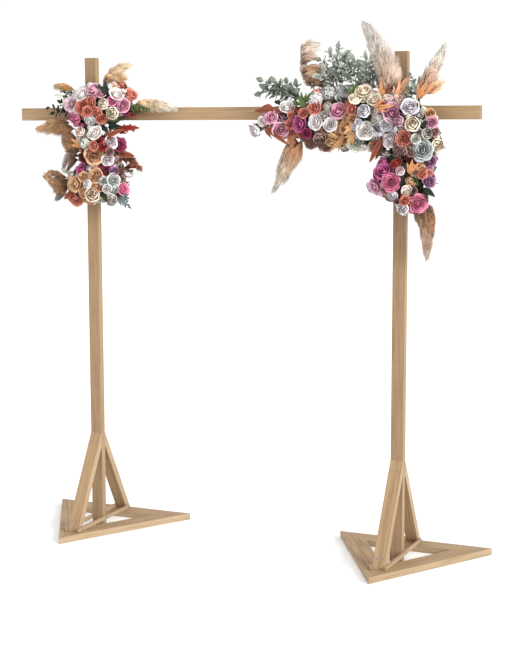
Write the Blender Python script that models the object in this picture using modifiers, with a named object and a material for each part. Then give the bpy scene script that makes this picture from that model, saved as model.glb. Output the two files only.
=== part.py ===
"""Wooden wedding arch with two silk flower swags, modelled in Blender.

Two square-cut posts stand on triangular timber bases and carry one crossbeam.
Metres, +Z up. The origin is on the floor, midway between the posts and halfway
from the front to the back of the bases. The front of the arch faces -Y.
"""

import math

import bmesh
import bpy
from mathutils import Matrix, Vector

# Timber sizes
POST_HEIGHT = 2.2
POST_SPACING = 1.495
STOCK_WIDTH = 0.057
STOCK_DEPTH = 0.033
BEAM_LENGTH = 2.2
BEAM_TOP = 1.973
BASE_SIDE = 0.72
BOARD_WIDTH = 0.092
BOARD_THICKNESS = 0.029
BASE_BEHIND_POST_FRONT = 0.269
STRINGER_WIDTH = 0.012
STRINGER_HEIGHT = 0.017
STRINGER_FRONT = 0.248
STRINGER_BACK = 0.244
BRACE_TOP = 0.452
BRACE_RUN = 0.236
ARRIS = 0.0015

# The gap between faces that touch
GAP = 0.0003

# Sizes worked out from those above
BASE_DEPTH = BASE_SIDE * math.sqrt(3) / 2
BASE_MIDDLE_Y = BASE_DEPTH / 2 - BASE_DEPTH / 3
POST_FRONT_Y = BASE_DEPTH / 2 - BASE_BEHIND_POST_FRONT
BEAM_Y = POST_FRONT_Y - GAP - STOCK_DEPTH / 2
BEAM_FACE_Y = BEAM_Y - STOCK_DEPTH / 2 - GAP
POST_FACE_Y = POST_FRONT_Y - GAP

# Swag sizes
BLOOM_Y = -0.035
BLOOM_HALF_DEPTH = 0.105
BLOOM_COUNT = 44
BLOOM_SPREAD = 0.36
BLOOM_RELIEF = 0.16
STEM_RADIUS = 0.003
SPRAY_THICKNESS = 0.003
SPRAY_STEM_SHARE = 0.3
SOCKET_CLEARANCE = 2 * GAP
PLUME_POINTS = 15
LEAF_SAMPLES = 5
CELL_REACH = 0.6

# Heights and places where one mass of blooms meets the next
LEFT_UPPER_SPLIT = 1.9
LEFT_LOWER_SPLIT = 1.715
RIGHT_TAIL_SPLIT = 1.745
RIGHT_TIP_SPLIT = 1.6
RIGHT_END_SPLIT = 0.335
RIGHT_CENTRE_SPLIT = 0.55
RIGHT_CORNER_SPLIT = 0.755


def clear_scene():
    for old in list(bpy.data.objects):
        bpy.data.objects.remove(old)


def new_collection(name):
    collection = bpy.data.collections.new(name)
    bpy.context.scene.collection.children.link(collection)
    return collection


def new_material(name, colour, roughness):
    material = bpy.data.materials.new(name)
    material.use_nodes = True
    shader = material.node_tree.nodes["Principled BSDF"]
    shader.inputs["Base Color"].default_value = (*colour, 1)
    shader.inputs["Roughness"].default_value = roughness
    shader.inputs["Metallic"].default_value = 0
    return material


clear_scene()
PARTS = new_collection("wedding_arch")
CUTTERS = new_collection("cutters")

PINE = new_material("pine", (0.50, 0.33, 0.17), 0.6)
BLOOM_SILK = new_material("bloom_silk", (0.72, 0.36, 0.38), 0.8)
DRIED_PLUME = new_material("dried_plume", (0.62, 0.42, 0.28), 0.9)
LEAF_SILK = new_material("leaf_silk", (0.20, 0.28, 0.22), 0.7)
RUST_LEAF = new_material("rust_leaf", (0.42, 0.16, 0.07), 0.7)


def add_object(name, data, material, collection=PARTS):
    obj = bpy.data.objects.new(name, data)
    collection.objects.link(obj)
    if material:
        data.materials.append(material)
    return obj


def add_bevel(obj):
    bevel = obj.modifiers.new("arris", "BEVEL")
    bevel.width = ARRIS
    bevel.segments = 2
    bevel.limit_method = "ANGLE"


def block(name, low, high):
    """A straight length of timber between two corners, with its edges eased."""
    low, high = Vector(low), Vector(high)
    mesh = bpy.data.meshes.new(name)
    form = bmesh.new()
    size = Matrix.Diagonal((*(high - low), 1))
    bmesh.ops.create_cube(form, size=1, matrix=size)
    form.to_mesh(mesh)
    form.free()
    obj = add_object(name, mesh, PINE)
    obj.location = (low + high) / 2
    add_bevel(obj)
    return obj


def flat_curve(name, outline, thickness):
    """A closed 2D curve, filled and extruded to a thickness about its own plane."""
    curve = bpy.data.curves.new(name, "CURVE")
    curve.dimensions = "2D"
    curve.fill_mode = "BOTH"
    curve.extrude = thickness / 2
    spline = curve.splines.new("POLY")
    spline.points.add(len(outline) - 1)
    for point, (x, y) in zip(spline.points, outline):
        point.co = (x, y, 0, 1)
    spline.use_cyclic_u = True
    return curve


def add_weld(obj):
    weld = obj.modifiers.new("caps", "WELD")
    weld.merge_threshold = 0.00001


def board(name, outline, thickness):
    """A piece of timber sawn to an outline, with its edges eased."""
    obj = add_object(name, flat_curve(name, outline, thickness), PINE)
    add_weld(obj)
    add_bevel(obj)
    return obj


def base_board(name, post_x, turn):
    """One side of the triangular base, mitred at both ends to meet the other two."""
    outer = BASE_DEPTH / 3
    inner = outer - BOARD_WIDTH
    outer_end = BASE_SIDE / 2 - GAP
    inner_end = outer_end - BOARD_WIDTH / math.tan(math.radians(30))
    outline = [
        (-outer_end, outer),
        (-inner_end, inner),
        (inner_end, inner),
        (outer_end, outer),
    ]
    obj = board(name, outline, BOARD_THICKNESS)
    obj.location = (post_x, BASE_MIDDLE_Y, BOARD_THICKNESS / 2)
    obj.rotation_euler.z = math.radians(turn)


def brace(name, post_x, face_y, turn):
    """A raking strut from a board of the base up to a face of the post, plumb-cut."""
    foot_z = BOARD_THICKNESS + GAP
    slope = math.atan2(BRACE_TOP - foot_z, BRACE_RUN)
    foot = STOCK_DEPTH / math.sin(slope)
    head = STOCK_DEPTH / math.cos(slope)
    outline = [
        (GAP, BRACE_TOP),
        (GAP, BRACE_TOP - head),
        (BRACE_RUN - foot, foot_z),
        (BRACE_RUN, foot_z),
    ]
    obj = board(name, outline, STOCK_WIDTH)
    obj.location = (post_x, face_y, 0)
    obj.rotation_euler = (math.radians(90), 0, math.radians(turn))


def stand(side, post_x):
    """One post with its triangular base, two stringers and two braces."""
    block(
        f"{side}_post",
        (post_x - STOCK_WIDTH / 2, POST_FRONT_Y, 0),
        (post_x + STOCK_WIDTH / 2, POST_FRONT_Y + STOCK_DEPTH, POST_HEIGHT),
    )
    base_board(f"{side}_base_back_board", post_x, 0)
    base_board(f"{side}_base_left_board", post_x, 120)
    base_board(f"{side}_base_right_board", post_x, -120)
    stringer_low = BOARD_THICKNESS + GAP
    for hand, sign in (("left", -1), ("right", 1)):
        inner = post_x + sign * (STOCK_WIDTH / 2 + GAP)
        outer = inner + sign * STRINGER_WIDTH
        block(
            f"{side}_base_{hand}_stringer",
            (min(inner, outer), POST_FRONT_Y - STRINGER_FRONT, stringer_low),
            (max(inner, outer), POST_FRONT_Y + STRINGER_BACK, stringer_low + STRINGER_HEIGHT),
        )
    brace(f"{side}_front_brace", post_x, POST_FRONT_Y, -90)
    brace(f"{side}_back_brace", post_x, POST_FRONT_Y + STOCK_DEPTH, 90)


def crossbeam():
    block(
        "crossbeam",
        (-BEAM_LENGTH / 2, BEAM_Y - STOCK_DEPTH / 2, BEAM_TOP - STOCK_WIDTH),
        (BEAM_LENGTH / 2, BEAM_Y + STOCK_DEPTH / 2, BEAM_TOP),
    )


def spread_points(count):
    """Unit vectors spread evenly over a sphere, one for each bloom."""
    turn = math.pi * (3 - math.sqrt(5))
    for i in range(count):
        height = 1 - (2 * i + 1) / count
        ring = math.sqrt(1 - height * height)
        yield Vector((ring * math.cos(i * turn), height, ring * math.sin(i * turn)))


def cutter_from_mesh(name, mesh):
    cutter = add_object(name, mesh, None, CUTTERS)
    cutter.hide_render = True
    cutter.display_type = "WIRE"
    return cutter


def cut(obj, cutter, operation):
    modifier = obj.modifiers.new(cutter.name, "BOOLEAN")
    modifier.operation = operation
    modifier.solver = "EXACT"
    modifier.object = cutter


def cell(name, low, high):
    """The room that a mass of blooms may fill, as a box to intersect it with."""
    low, high = Vector(low), Vector(high)
    mesh = bpy.data.meshes.new(name)
    form = bmesh.new()
    place = Matrix.Translation((low + high) / 2) @ Matrix.Diagonal((*(high - low), 1))
    bmesh.ops.create_cube(form, size=1, matrix=place)
    form.to_mesh(mesh)
    form.free()
    return cutter_from_mesh(name, mesh)


def bloom_mass(name, centre, half, back, left=None, right=None, bottom=None, top=None):
    """Blooms packed on a form: a cobbled ellipsoid, flat where it meets timber or its neighbour."""
    mesh = bpy.data.meshes.new(name)
    form = bmesh.new()
    bmesh.ops.create_icosphere(form, subdivisions=4, radius=1)
    blooms = list(spread_points(BLOOM_COUNT))
    size = Matrix.Diagonal((half[0], BLOOM_HALF_DEPTH, half[1]))
    for vertex in form.verts:
        away = min(vertex.co.angle(bloom) for bloom in blooms) / BLOOM_SPREAD
        bulge = math.sqrt(max(0, 1 - away * away))
        vertex.co = size @ vertex.co * (1 - BLOOM_RELIEF + BLOOM_RELIEF * bulge)
    form.to_mesh(mesh)
    form.free()
    mesh.shade_smooth()
    obj = add_object(name, mesh, BLOOM_SILK)
    obj.location = (centre[0], BLOOM_Y, centre[1])
    low = (
        centre[0] - CELL_REACH if left is None else left + GAP / 2,
        -CELL_REACH,
        centre[1] - CELL_REACH if bottom is None else bottom + GAP / 2,
    )
    high = (
        centre[0] + CELL_REACH if right is None else right - GAP / 2,
        back,
        centre[1] + CELL_REACH if top is None else top - GAP / 2,
    )
    cut(obj, cell(f"{name}_cell", low, high), "INTERSECT")
    return obj


def curve_mesh(curve):
    """The closed mesh of a bevelled or extruded curve, with its caps welded."""
    guide = bpy.data.objects.new("guide", curve)
    bpy.context.scene.collection.objects.link(guide)
    graph = bpy.context.evaluated_depsgraph_get()
    mesh = bpy.data.meshes.new_from_object(guide.evaluated_get(graph))
    form = bmesh.new()
    form.from_mesh(mesh)
    bmesh.ops.remove_doubles(form, verts=form.verts, dist=0.00001)
    form.to_mesh(mesh)
    form.free()
    bpy.data.objects.remove(guide)
    return mesh


def cut_sockets(name, mesh, hosts):
    """Opens the blooms around a stem, so that it is held without a clash."""
    cutter = cutter_from_mesh(name, mesh)
    for host in hosts:
        cut(host, cutter, "DIFFERENCE")


def plume_curve(name, root, base, bend, tip, fullness, extra):
    """A thin stem from root to base, then a feathery head that swells and tapers to its tip."""
    curve = bpy.data.curves.new(name, "CURVE")
    curve.dimensions = "3D"
    curve.bevel_depth = 1
    curve.bevel_resolution = 2
    curve.use_fill_caps = True
    spline = curve.splines.new("POLY")
    spline.points.add(PLUME_POINTS)
    root, base, bend, tip = Vector(root), Vector(base), Vector(bend), Vector(tip)
    spline.points[0].co = (*root, 1)
    spline.points[0].radius = STEM_RADIUS + extra
    for i in range(PLUME_POINTS):
        t = i / (PLUME_POINTS - 1)
        place = base * (1 - t) ** 2 + bend * 2 * t * (1 - t) + tip * t * t
        swell = math.sin(math.pi * t ** 0.8) ** 0.7 if 0 < t < 1 else 0
        spline.points[i + 1].co = (*place, 1)
        spline.points[i + 1].radius = STEM_RADIUS + (fullness - STEM_RADIUS) * swell + extra
    return curve


def plume(name, hosts, **shape):
    """A dried grass plume whose stem is pushed into the blooms that carry it."""
    curve = plume_curve(name, extra=0, **shape)
    add_object(name, curve, DRIED_PLUME)
    socket = curve_mesh(plume_curve(name, extra=SOCKET_CLEARANCE, **shape))
    cut_sockets(f"{name}_socket", socket, hosts)


def spray_outline(length, stem, half_width, leaves, extra):
    """Half widths along a leafy spray: a bare stem, then leaf tips that grow and shrink again."""
    steps = leaves * LEAF_SAMPLES
    side = [(STEM_RADIUS * 0.8 + extra, -extra), (STEM_RADIUS * 0.8 + extra, stem)]
    for i in range(1, steps):
        t = i / steps
        envelope = math.sin(math.pi * t ** 0.7) ** 0.6
        lobe = 0.5 + 0.5 * abs(math.sin(math.pi * leaves * t))
        half = half_width * envelope * lobe + STEM_RADIUS
        side.append((half + extra, stem + (length - stem) * t))
    mirrored = [(-x, y) for x, y in reversed(side)]
    return side + [(0, length + extra)] + mirrored


def spray(name, hosts, root, tip, y, half_width, leaves, material=LEAF_SILK):
    """A leafy spray in its own plane, with its stem pushed into the blooms that carry it."""
    run, rise = tip[0] - root[0], tip[1] - root[1]
    length = math.hypot(run, rise)
    lean = math.atan2(run, rise)
    stem = SPRAY_STEM_SHARE * length
    turn = Matrix.Rotation(lean, 4, "Y") @ Matrix.Rotation(math.radians(90), 4, "X")
    place = Matrix.Translation((root[0], y, root[1])) @ turn
    outline = spray_outline(length, stem, half_width, leaves, 0)
    obj = add_object(name, flat_curve(name, outline, SPRAY_THICKNESS), material)
    add_weld(obj)
    obj.matrix_world = place
    wider = spray_outline(length, stem, half_width, leaves, SOCKET_CLEARANCE)
    socket = curve_mesh(flat_curve(name, wider, SPRAY_THICKNESS + 2 * SOCKET_CLEARANCE))
    socket.transform(place)
    cut_sockets(f"{name}_socket", socket, hosts)


def left_swag():
    upper = bloom_mass(
        "left_upper_blooms", (-0.66, 1.985), (0.2, 0.105), BEAM_FACE_Y, bottom=LEFT_UPPER_SPLIT
    )
    middle = bloom_mass(
        "left_middle_blooms",
        (-0.66, 1.8),
        (0.125, 0.135),
        POST_FACE_Y,
        bottom=LEFT_LOWER_SPLIT,
        top=LEFT_UPPER_SPLIT,
    )
    lower = bloom_mass(
        "left_lower_blooms", (-0.67, 1.63), (0.165, 0.11), POST_FACE_Y, top=LEFT_LOWER_SPLIT
    )
    plume(
        "left_top_plume",
        [upper],
        root=(-0.64, -0.03, 2.0),
        base=(-0.635, -0.035, 2.07),
        bend=(-0.59, -0.045, 2.15),
        tip=(-0.475, -0.06, 2.175),
        fullness=0.028,
    )
    plume(
        "left_beam_plume",
        [upper],
        root=(-0.56, -0.035, 2.0),
        base=(-0.48, -0.035, 1.985),
        bend=(-0.37, -0.035, 2.0),
        tip=(-0.26, -0.03, 1.975),
        fullness=0.026,
    )
    plume(
        "left_outer_plume",
        [upper, middle],
        root=(-0.73, -0.07, 1.86),
        base=(-0.775, -0.075, 1.868),
        bend=(-0.88, -0.08, 1.882),
        tip=(-0.98, -0.08, 1.885),
        fullness=0.034,
    )
    plume(
        "left_middle_plume",
        [middle, lower],
        root=(-0.7, -0.01, 1.785),
        base=(-0.77, -0.01, 1.785),
        bend=(-0.83, -0.01, 1.8),
        tip=(-0.88, -0.01, 1.855),
        fullness=0.026,
    )
    plume(
        "left_lower_plume",
        [lower],
        root=(-0.75, -0.05, 1.62),
        base=(-0.81, -0.055, 1.61),
        bend=(-0.885, -0.065, 1.625),
        tip=(-0.94, -0.08, 1.69),
        fullness=0.032,
    )
    plume(
        "left_upper_plume",
        [upper],
        root=(-0.73, -0.05, 2.0),
        base=(-0.775, -0.05, 2.05),
        bend=(-0.83, -0.055, 2.085),
        tip=(-0.89, -0.055, 2.08),
        fullness=0.016,
    )
    spray("left_upper_leaf_spray", [upper], (-0.74, 1.985), (-0.895, 2.04), -0.015, 0.026, 4)
    spray("left_outer_leaf_spray", [upper], (-0.77, 1.95), (-0.935, 1.98), -0.04, 0.026, 4)
    spray(
        "left_rust_leaf_spray", [upper, middle], (-0.6, 1.84), (-0.46, 1.89), -0.03, 0.018, 3, RUST_LEAF
    )
    spray(
        "left_lower_rust_spray", [middle, lower], (-0.6, 1.76), (-0.43, 1.7), -0.03, 0.018, 3, RUST_LEAF
    )
    spray("left_grey_leaf_spray", [lower], (-0.63, 1.62), (-0.505, 1.525), -0.04, 0.02, 3)


def right_swag():
    end = bloom_mass(
        "right_end_blooms", (0.225, 1.915), (0.145, 0.095), BEAM_FACE_Y, right=RIGHT_END_SPLIT
    )
    centre = bloom_mass(
        "right_centre_blooms",
        (0.435, 1.92),
        (0.165, 0.125),
        BEAM_FACE_Y,
        left=RIGHT_END_SPLIT,
        right=RIGHT_CENTRE_SPLIT,
    )
    inner = bloom_mass(
        "right_inner_blooms",
        (0.655, 1.925),
        (0.16, 0.14),
        BEAM_FACE_Y,
        left=RIGHT_CENTRE_SPLIT,
        right=RIGHT_CORNER_SPLIT,
    )
    corner = bloom_mass(
        "right_corner_blooms",
        (0.84, 1.865),
        (0.13, 0.165),
        BEAM_FACE_Y,
        left=RIGHT_CORNER_SPLIT,
        bottom=RIGHT_TAIL_SPLIT,
    )
    tail = bloom_mass(
        "right_tail_blooms",
        (0.79, 1.67),
        (0.155, 0.115),
        POST_FACE_Y,
        bottom=RIGHT_TIP_SPLIT,
        top=RIGHT_TAIL_SPLIT,
    )
    tip = bloom_mass(
        "right_tip_blooms", (0.825, 1.585), (0.085, 0.075), POST_FACE_Y, top=RIGHT_TIP_SPLIT
    )
    plume(
        "right_curled_plume",
        [end, centre],
        root=(0.395, -0.01, 1.99),
        base=(0.375, -0.01, 2.055),
        bend=(0.25, 0.0, 2.2),
        tip=(0.385, 0.01, 2.24),
        fullness=0.026,
    )
    plume(
        "right_tall_plume",
        [inner, corner],
        root=(0.745, -0.035, 1.96),
        base=(0.735, -0.035, 2.03),
        bend=(0.7, -0.03, 2.2),
        tip=(0.58, -0.01, 2.36),
        fullness=0.05,
    )
    plume(
        "right_corner_plume",
        [corner],
        root=(0.84, -0.03, 1.96),
        base=(0.86, -0.03, 2.02),
        bend=(0.91, -0.03, 2.1),
        tip=(0.96, -0.02, 2.23),
        fullness=0.028,
    )
    plume(
        "right_low_plume",
        [end, centre],
        root=(0.36, -0.045, 1.88),
        base=(0.33, -0.05, 1.825),
        bend=(0.285, -0.06, 1.72),
        tip=(0.205, -0.07, 1.617),
        fullness=0.034,
    )
    plume(
        "right_tail_plume",
        [tail, tip],
        root=(0.845, -0.03, 1.59),
        base=(0.865, -0.025, 1.54),
        bend=(0.91, -0.02, 1.45),
        tip=(0.88, 0.0, 1.34),
        fullness=0.028,
    )
    spray("right_end_leaf_spray", [end, centre], (0.33, 1.98), (0.09, 2.085), -0.04, 0.045, 5)
    spray("right_centre_leaf_spray", [centre], (0.47, 1.99), (0.5, 2.235), -0.02, 0.056, 5)
    spray("right_inner_leaf_spray", [centre, inner], (0.625, 1.99), (0.595, 2.17), -0.03, 0.05, 4)


stand("left", -POST_SPACING / 2)
stand("right", POST_SPACING / 2)
crossbeam()
left_swag()
right_swag()
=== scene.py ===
"""Dresses the wooden wedding arch: pine, its fasteners, and two swags of silk flowers, leaves and plumes."""

import math
import random
from collections import defaultdict, namedtuple
from itertools import product
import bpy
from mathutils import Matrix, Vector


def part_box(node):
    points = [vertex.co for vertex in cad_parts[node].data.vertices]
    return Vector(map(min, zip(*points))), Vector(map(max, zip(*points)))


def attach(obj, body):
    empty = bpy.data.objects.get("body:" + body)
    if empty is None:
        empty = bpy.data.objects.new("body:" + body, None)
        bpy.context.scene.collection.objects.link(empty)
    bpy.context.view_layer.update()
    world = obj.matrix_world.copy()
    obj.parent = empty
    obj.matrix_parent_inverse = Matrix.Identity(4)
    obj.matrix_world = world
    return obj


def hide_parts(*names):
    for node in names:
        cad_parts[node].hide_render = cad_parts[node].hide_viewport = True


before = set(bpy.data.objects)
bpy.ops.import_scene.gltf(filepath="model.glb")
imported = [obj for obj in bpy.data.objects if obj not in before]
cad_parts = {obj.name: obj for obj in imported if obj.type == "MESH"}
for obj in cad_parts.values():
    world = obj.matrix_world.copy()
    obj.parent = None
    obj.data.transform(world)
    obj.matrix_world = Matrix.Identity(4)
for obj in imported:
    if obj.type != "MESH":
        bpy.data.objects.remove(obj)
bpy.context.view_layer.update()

from types import SimpleNamespace

import bpy
import numpy as np
from mathutils import Matrix, Vector, noise

# The camera, fitted to the photograph's timber corners; the photograph is 509 by 650 pixels
PHOTO_WIDTH, PHOTO_HEIGHT = 509, 650
CAMERA_PLACE = Vector((2.7506, -5.9757, 1.9108))
CAMERA_YAW, CAMERA_PITCH, CAMERA_ROLL = 0.4184, -0.1361, -0.0024
FOCAL_PIXELS = 1488.3
SENSOR_MM = 36

# Studio light: a bright room, and a wide soft sun from the front right
ROOM_STRENGTH = 1.06
SUN_STRENGTH, SUN_DEGREES, SUN_COLOUR = 3.1, 25, (0.99, 0.99, 0.97)
SUN_DIRECTION = Vector((-0.86, 0.36, -0.36))
FLOOR_SIZE, FLOOR_LEVEL, FLOOR_SHADE = 60, -0.0005, 0.96

# Sizes that the solids have too
BRACE_RUN, BRACE_RISE = 0.236, 0.423
STEM_RADIUS = 0.003
MASS_Y, MASS_HALF_DEPTH = -0.035, 0.105

# Any turn about an axis, and the turn between neighbours that spreads them evenly, in radians
ANY_TURN, SPREAD_TURN = 6.28, 2.4
# The tint of shapes whose material doesn't use it
NO_TINT = (0.5, 0.5, 0.5)
# Where each kind of piece starts its random numbers
FORM_SEED, SWAG_SEED, PLUME_SEED, SPRAY_SEED, TWIG_SEED = 5, 20, 40, 60, 80


def value(word):
    """A word of a table, as a number where it reads as one."""
    try:
        return float(word)
    except ValueError:
        return word


def rows(text):
    """The rows of a table, which are parted by commas."""
    return [[value(word) for word in row.split()] for row in text.split(",")]


def table(text):
    """The rows of a table by the name that each starts with."""
    return {name: facts for name, *facts in rows(text)}


def linear(red, green, blue):
    """A display colour of 0 to 255 as linear light."""
    return np.array([(c / 255) ** 2.2 for c in (red, green, blue)])


# Flower masses: swag, centre x and z, half x and half z, the timber that carries it, and its leaves
MASS_TABLE = rows("""
    left_upper left -0.66 1.985 0.2 0.105 crossbeam dark dark green rust,
    left_middle left -0.66 1.8 0.125 0.135 left_post rust rust dark brown,
    left_lower left -0.67 1.63 0.165 0.11 left_post rust dark dusty brown,
    right_end right 0.225 1.915 0.145 0.095 crossbeam rust rust green dark,
    right_centre right 0.435 1.92 0.165 0.125 crossbeam brown orange green dark,
    right_inner right 0.655 1.925 0.16 0.14 crossbeam green sage dark orange,
    right_corner right 0.84 1.865 0.13 0.165 crossbeam sage dark green dusty,
    right_tail right 0.79 1.67 0.155 0.115 right_post orange dark dark green,
    right_tip right 0.825 1.585 0.085 0.075 right_post rust dark brown dark
""")

# Wires that hold the swags: how far they reach into the moss, and the length and steps of their twists
WIRE_RADIUS, WIRE_SIDES, WIRE_REACH = 0.0011, 6, 0.02
WIRE_BEND, BEND_STEPS = 0.003, 3
TWIST_LENGTH, TWIST_STEPS, TWIST_TURN = 0.018, 20, 6 * math.pi
TWIST_DIRECTION = Vector((0.25, 0.8, -0.55)).normalized()
# The timber that each goes round, and its place along it
TIES = table("""
    left_upper_outer crossbeam -0.8, left_upper_inner crossbeam -0.58, left_middle left_post 1.78,
    left_lower left_post 1.61, right_end crossbeam 0.2, right_centre crossbeam 0.44,
    right_inner crossbeam 0.66, right_corner crossbeam 0.86, right_tail right_post 1.7,
    right_tip right_post 1.58
""")

# Petals: finish, and display colours in the heart and at the rim
Tint = namedtuple("Tint", "slot deep light")
# The dusk tint is painted shade: a darkened pinkish brown for blooms that lie in shadow. The maroon tint is a
# dark red that is also given to shadowed blooms, so it is partly painted shade. The heart colours are the dye
# at the petals' bases, deepened in part as painted shade deep in the blooms.
TINTS = {name: Tint(slot, linear(*c[:3]), linear(*c[3:])) for name, slot, *c in rows("""
    coral silk_peach 174 62 52 247 160 138, red silk_magenta 92 14 18 204 66 60,
    pink silk_pink 204 84 132 252 206 224, light_pink silk_pink 230 164 178 255 236 240,
    hot_pink silk_magenta 204 46 102 251 160 194, magenta silk_magenta 136 16 74 236 124 182,
    dark_magenta silk_magenta 72 10 38 172 54 102, mauve silk_pink 92 44 78 192 138 176,
    lavender silk_white 206 194 206 253 248 252, white silk_white 230 212 208 255 253 251,
    green_white silk_white 200 202 174 252 253 245, cream silk_cream 224 188 138 255 247 230,
    blush silk_cream 228 178 156 255 241 231, peach silk_peach 186 110 66 248 206 164,
    tan silk_peach 170 106 62 244 196 146, grey silk_white 150 152 150 234 235 231,
    dusk silk_peach 90 54 50 188 148 138, stone silk_cream 128 114 108 214 205 197,
    maroon silk_magenta 50 14 12 132 52 46
""")}

# Leaves: finish, length, width, arch, fold, wave, and display colours at the midrib and at the rim
Leaf = namedtuple("Leaf", "slot length width arch fold wave deep light")
# The dark and brown kinds are dark leaves that are also laid where the swags show only shadow between the
# blooms, so they are partly painted shade
LEAVES = {name: Leaf(*facts[:6], linear(*facts[6:9]), linear(*facts[9:])) for name, *facts in rows("""
    dark sage_leaf 0.045 0.026 0.25 0.25 0.08 20 31 23 48 66 46,
    green sage_leaf 0.034 0.02 0.2 0.3 0.08 50 68 38 122 140 84,
    sage sage_leaf 0.042 0.029 0.15 0.15 0.1 84 100 88 176 184 168,
    dusty sage_leaf 0.044 0.03 0.15 0.15 0.14 108 120 108 222 226 214,
    slate sage_leaf 0.038 0.02 0.15 0.2 0.12 58 68 72 142 154 158,
    rust rust_leaf 0.056 0.026 0.2 0.35 0.14 90 40 28 178 102 76,
    orange rust_leaf 0.05 0.018 0.2 0.35 0.14 168 94 48 244 188 134,
    yellow rust_leaf 0.05 0.018 0.2 0.4 0.14 180 112 60 246 206 152,
    peach rust_leaf 0.05 0.018 0.2 0.35 0.14 190 116 76 248 206 168,
    brown rust_leaf 0.05 0.028 0.25 0.3 0.12 52 34 26 128 88 66,
    red rust_leaf 0.05 0.026 0.25 0.3 0.12 96 20 18 170 60 46,
    pale sage_leaf 0.04 0.024 0.2 0.3 0.1 146 160 132 228 234 218
""")}
# Points across and along a leaf: seen in the photograph, on a spray, and strewn between the blooms
SEEN_LEAF, SPRAY_LEAF, STREWN_LEAF = (7, 9), (5, 6), (5, 5)
LEAF_THICKNESS, LEAF_TIP = 0.0005, 0.0006
TWIG_COLOUR, FOOT_COLOUR, STALK_COLOUR = linear(86, 82, 60), linear(70, 66, 44), linear(64, 84, 46)

# Blooms seen in the photograph: column, row and radius in its pixels, form unless it is a rose, and tint
# Blooms tinted dusk, and some tinted maroon, are painted shade where the swags lie in shadow
BLOOMS = {
    "left": rows("""
        123 83 6.5 coral, 131.5 93.5 6.7 coral, 117 93 7.3 white, 93 88 8 pink, 80 93 7.3 white,
        101 92 5.5 pink, 70 104 6.8 light_pink, 82 107 7.3 coral, 90 102 5.5 coral, 103 104 6.3 ball cream,
        111.5 101 4.8 hot_pink, 122 105 7.3 pink, 127 111 5 dark_magenta, 134 113.5 4.6 red,
        112 113 7.3 ball cream, 74.7 118 6.8 ball hot_pink, 90 120 6.8 ball white, 101.5 119 5.2 coral,
        80 131.5 5.6 ball blush, 94 132 7.4 white, 84.5 142 6.8 tuft green_white, 111 142.5 6.6 lavender,
        120.5 144 7 dark_magenta, 94 155 9 peach, 93 146 5 coral, 82.5 158 5 maroon, 108 160 6.1 lavender,
        117.7 160 5.2 ball dusk, 81 169 6.3 magenta, 89 168 4.2 bud white, 105 170 6.8 dark_magenta,
        114 170.5 4.6 mauve, 95 175.5 7.2 peach, 87 184 5.2 ball white, 114 180 6.7 grey, 128 173 6.2 white,
        124 189 6.4 hot_pink, 74 184 7.4 peach, 74.7 199.5 8.4 coral, 92.5 194.5 8.6 ball cream,
        107 189 5.4 ball white, 111 198.5 6.8 ball stone, 71 174 4.5 bud stone, 100 187 4.6 peach,
        83 176.5 5 peach, 101 165 4.8 maroon, 82 193 5 tan, 121 179 4.8 dusk, 103 147 4.6 red,
        87 112 5 coral, 110 152 4.4 dusk
    """),
    "right": rows("""
        254.6 131 7.4 ball white, 270 116.5 6.8 pink, 280.7 130.5 8 pink, 298.5 124 8 magenta,
        287 106 7.2 white, 314 107.6 6.8 coral, 316.4 96 8 tuft white, 328 91.5 9.5 tuft grey,
        341 88 8.5 tuft grey, 327 106 6 tuft stone, 314.8 122 7.5 white, 330.3 124.7 6.8 white,
        337.6 110 8.5 pink, 350 109.2 5.7 coral, 355 98.6 7.2 ball cream, 363.6 89.7 8.4 cream,
        373.4 98.6 6.8 cream, 386.4 97 5.5 blush, 363.6 111 7.6 ball lavender, 393 112.5 10.2 pink,
        398 99.5 8 blush, 410 106 8.6 lavender, 419 114 7.8 white, 412.4 124 8.8 ball cream,
        432 122 6.1 pink, 427 133.6 6.5 ball stone, 437.6 145 7.6 ball cream, 319.7 139 7.5 ball dusk,
        345 127 6.5 peach, 365.5 130.5 9 white, 355.5 144 8.4 green_white, 376.6 119 6.6 tuft stone,
        386.4 125 6.5 lavender, 388.8 138.5 8.6 white, 403.5 139.3 7.8 coral, 402.7 150.7 6 ball dusk,
        421.4 150 10.4 grey, 386.4 153 7.6 white, 395.3 162 5.7 red, 429.5 163 7.3 mauve,
        384 170.2 9.6 magenta, 400.2 171 5.3 ball light_pink, 390.5 182.4 8.8 hot_pink, 374.2 187.3 8 pink,
        423 174.3 5 coral, 429.5 181 6.7 mauve, 409.2 181 5.6 bud peach, 406.7 190.5 6.4 ball blush,
        393 196 6.3 ball lavender, 404.3 200.3 5 coral, 402.7 208.4 6.6 ball white, 419.7 204.4 9 hot_pink,
        430.3 113 5.2 tan, 435.5 132 5 dusk, 311 134 6 dusk, 327 148 5.6 dusk, 332 137 5 ball tan,
        309.5 146 5 dusk, 345 149 5.2 ball stone, 374 138 6 ball stone, 373 147.5 5.2 blush,
        411 160.5 5.4 maroon, 303 113 5 coral, 306 134 5 dark_magenta, 323 115 5 stone, 381 105 5 coral,
        402 131 4.8 blush, 416 139 5 green_white, 412 191 5 dusk, 415 172 4.6 peach, 384 190 4.5 dusk,
        344 139 5.5 tan, 352 119 5 tan, 291 134 5 coral, 262 122 5 white, 399 190 4.8 maroon,
        292 115.5 4.6 coral
    """),
}
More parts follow.
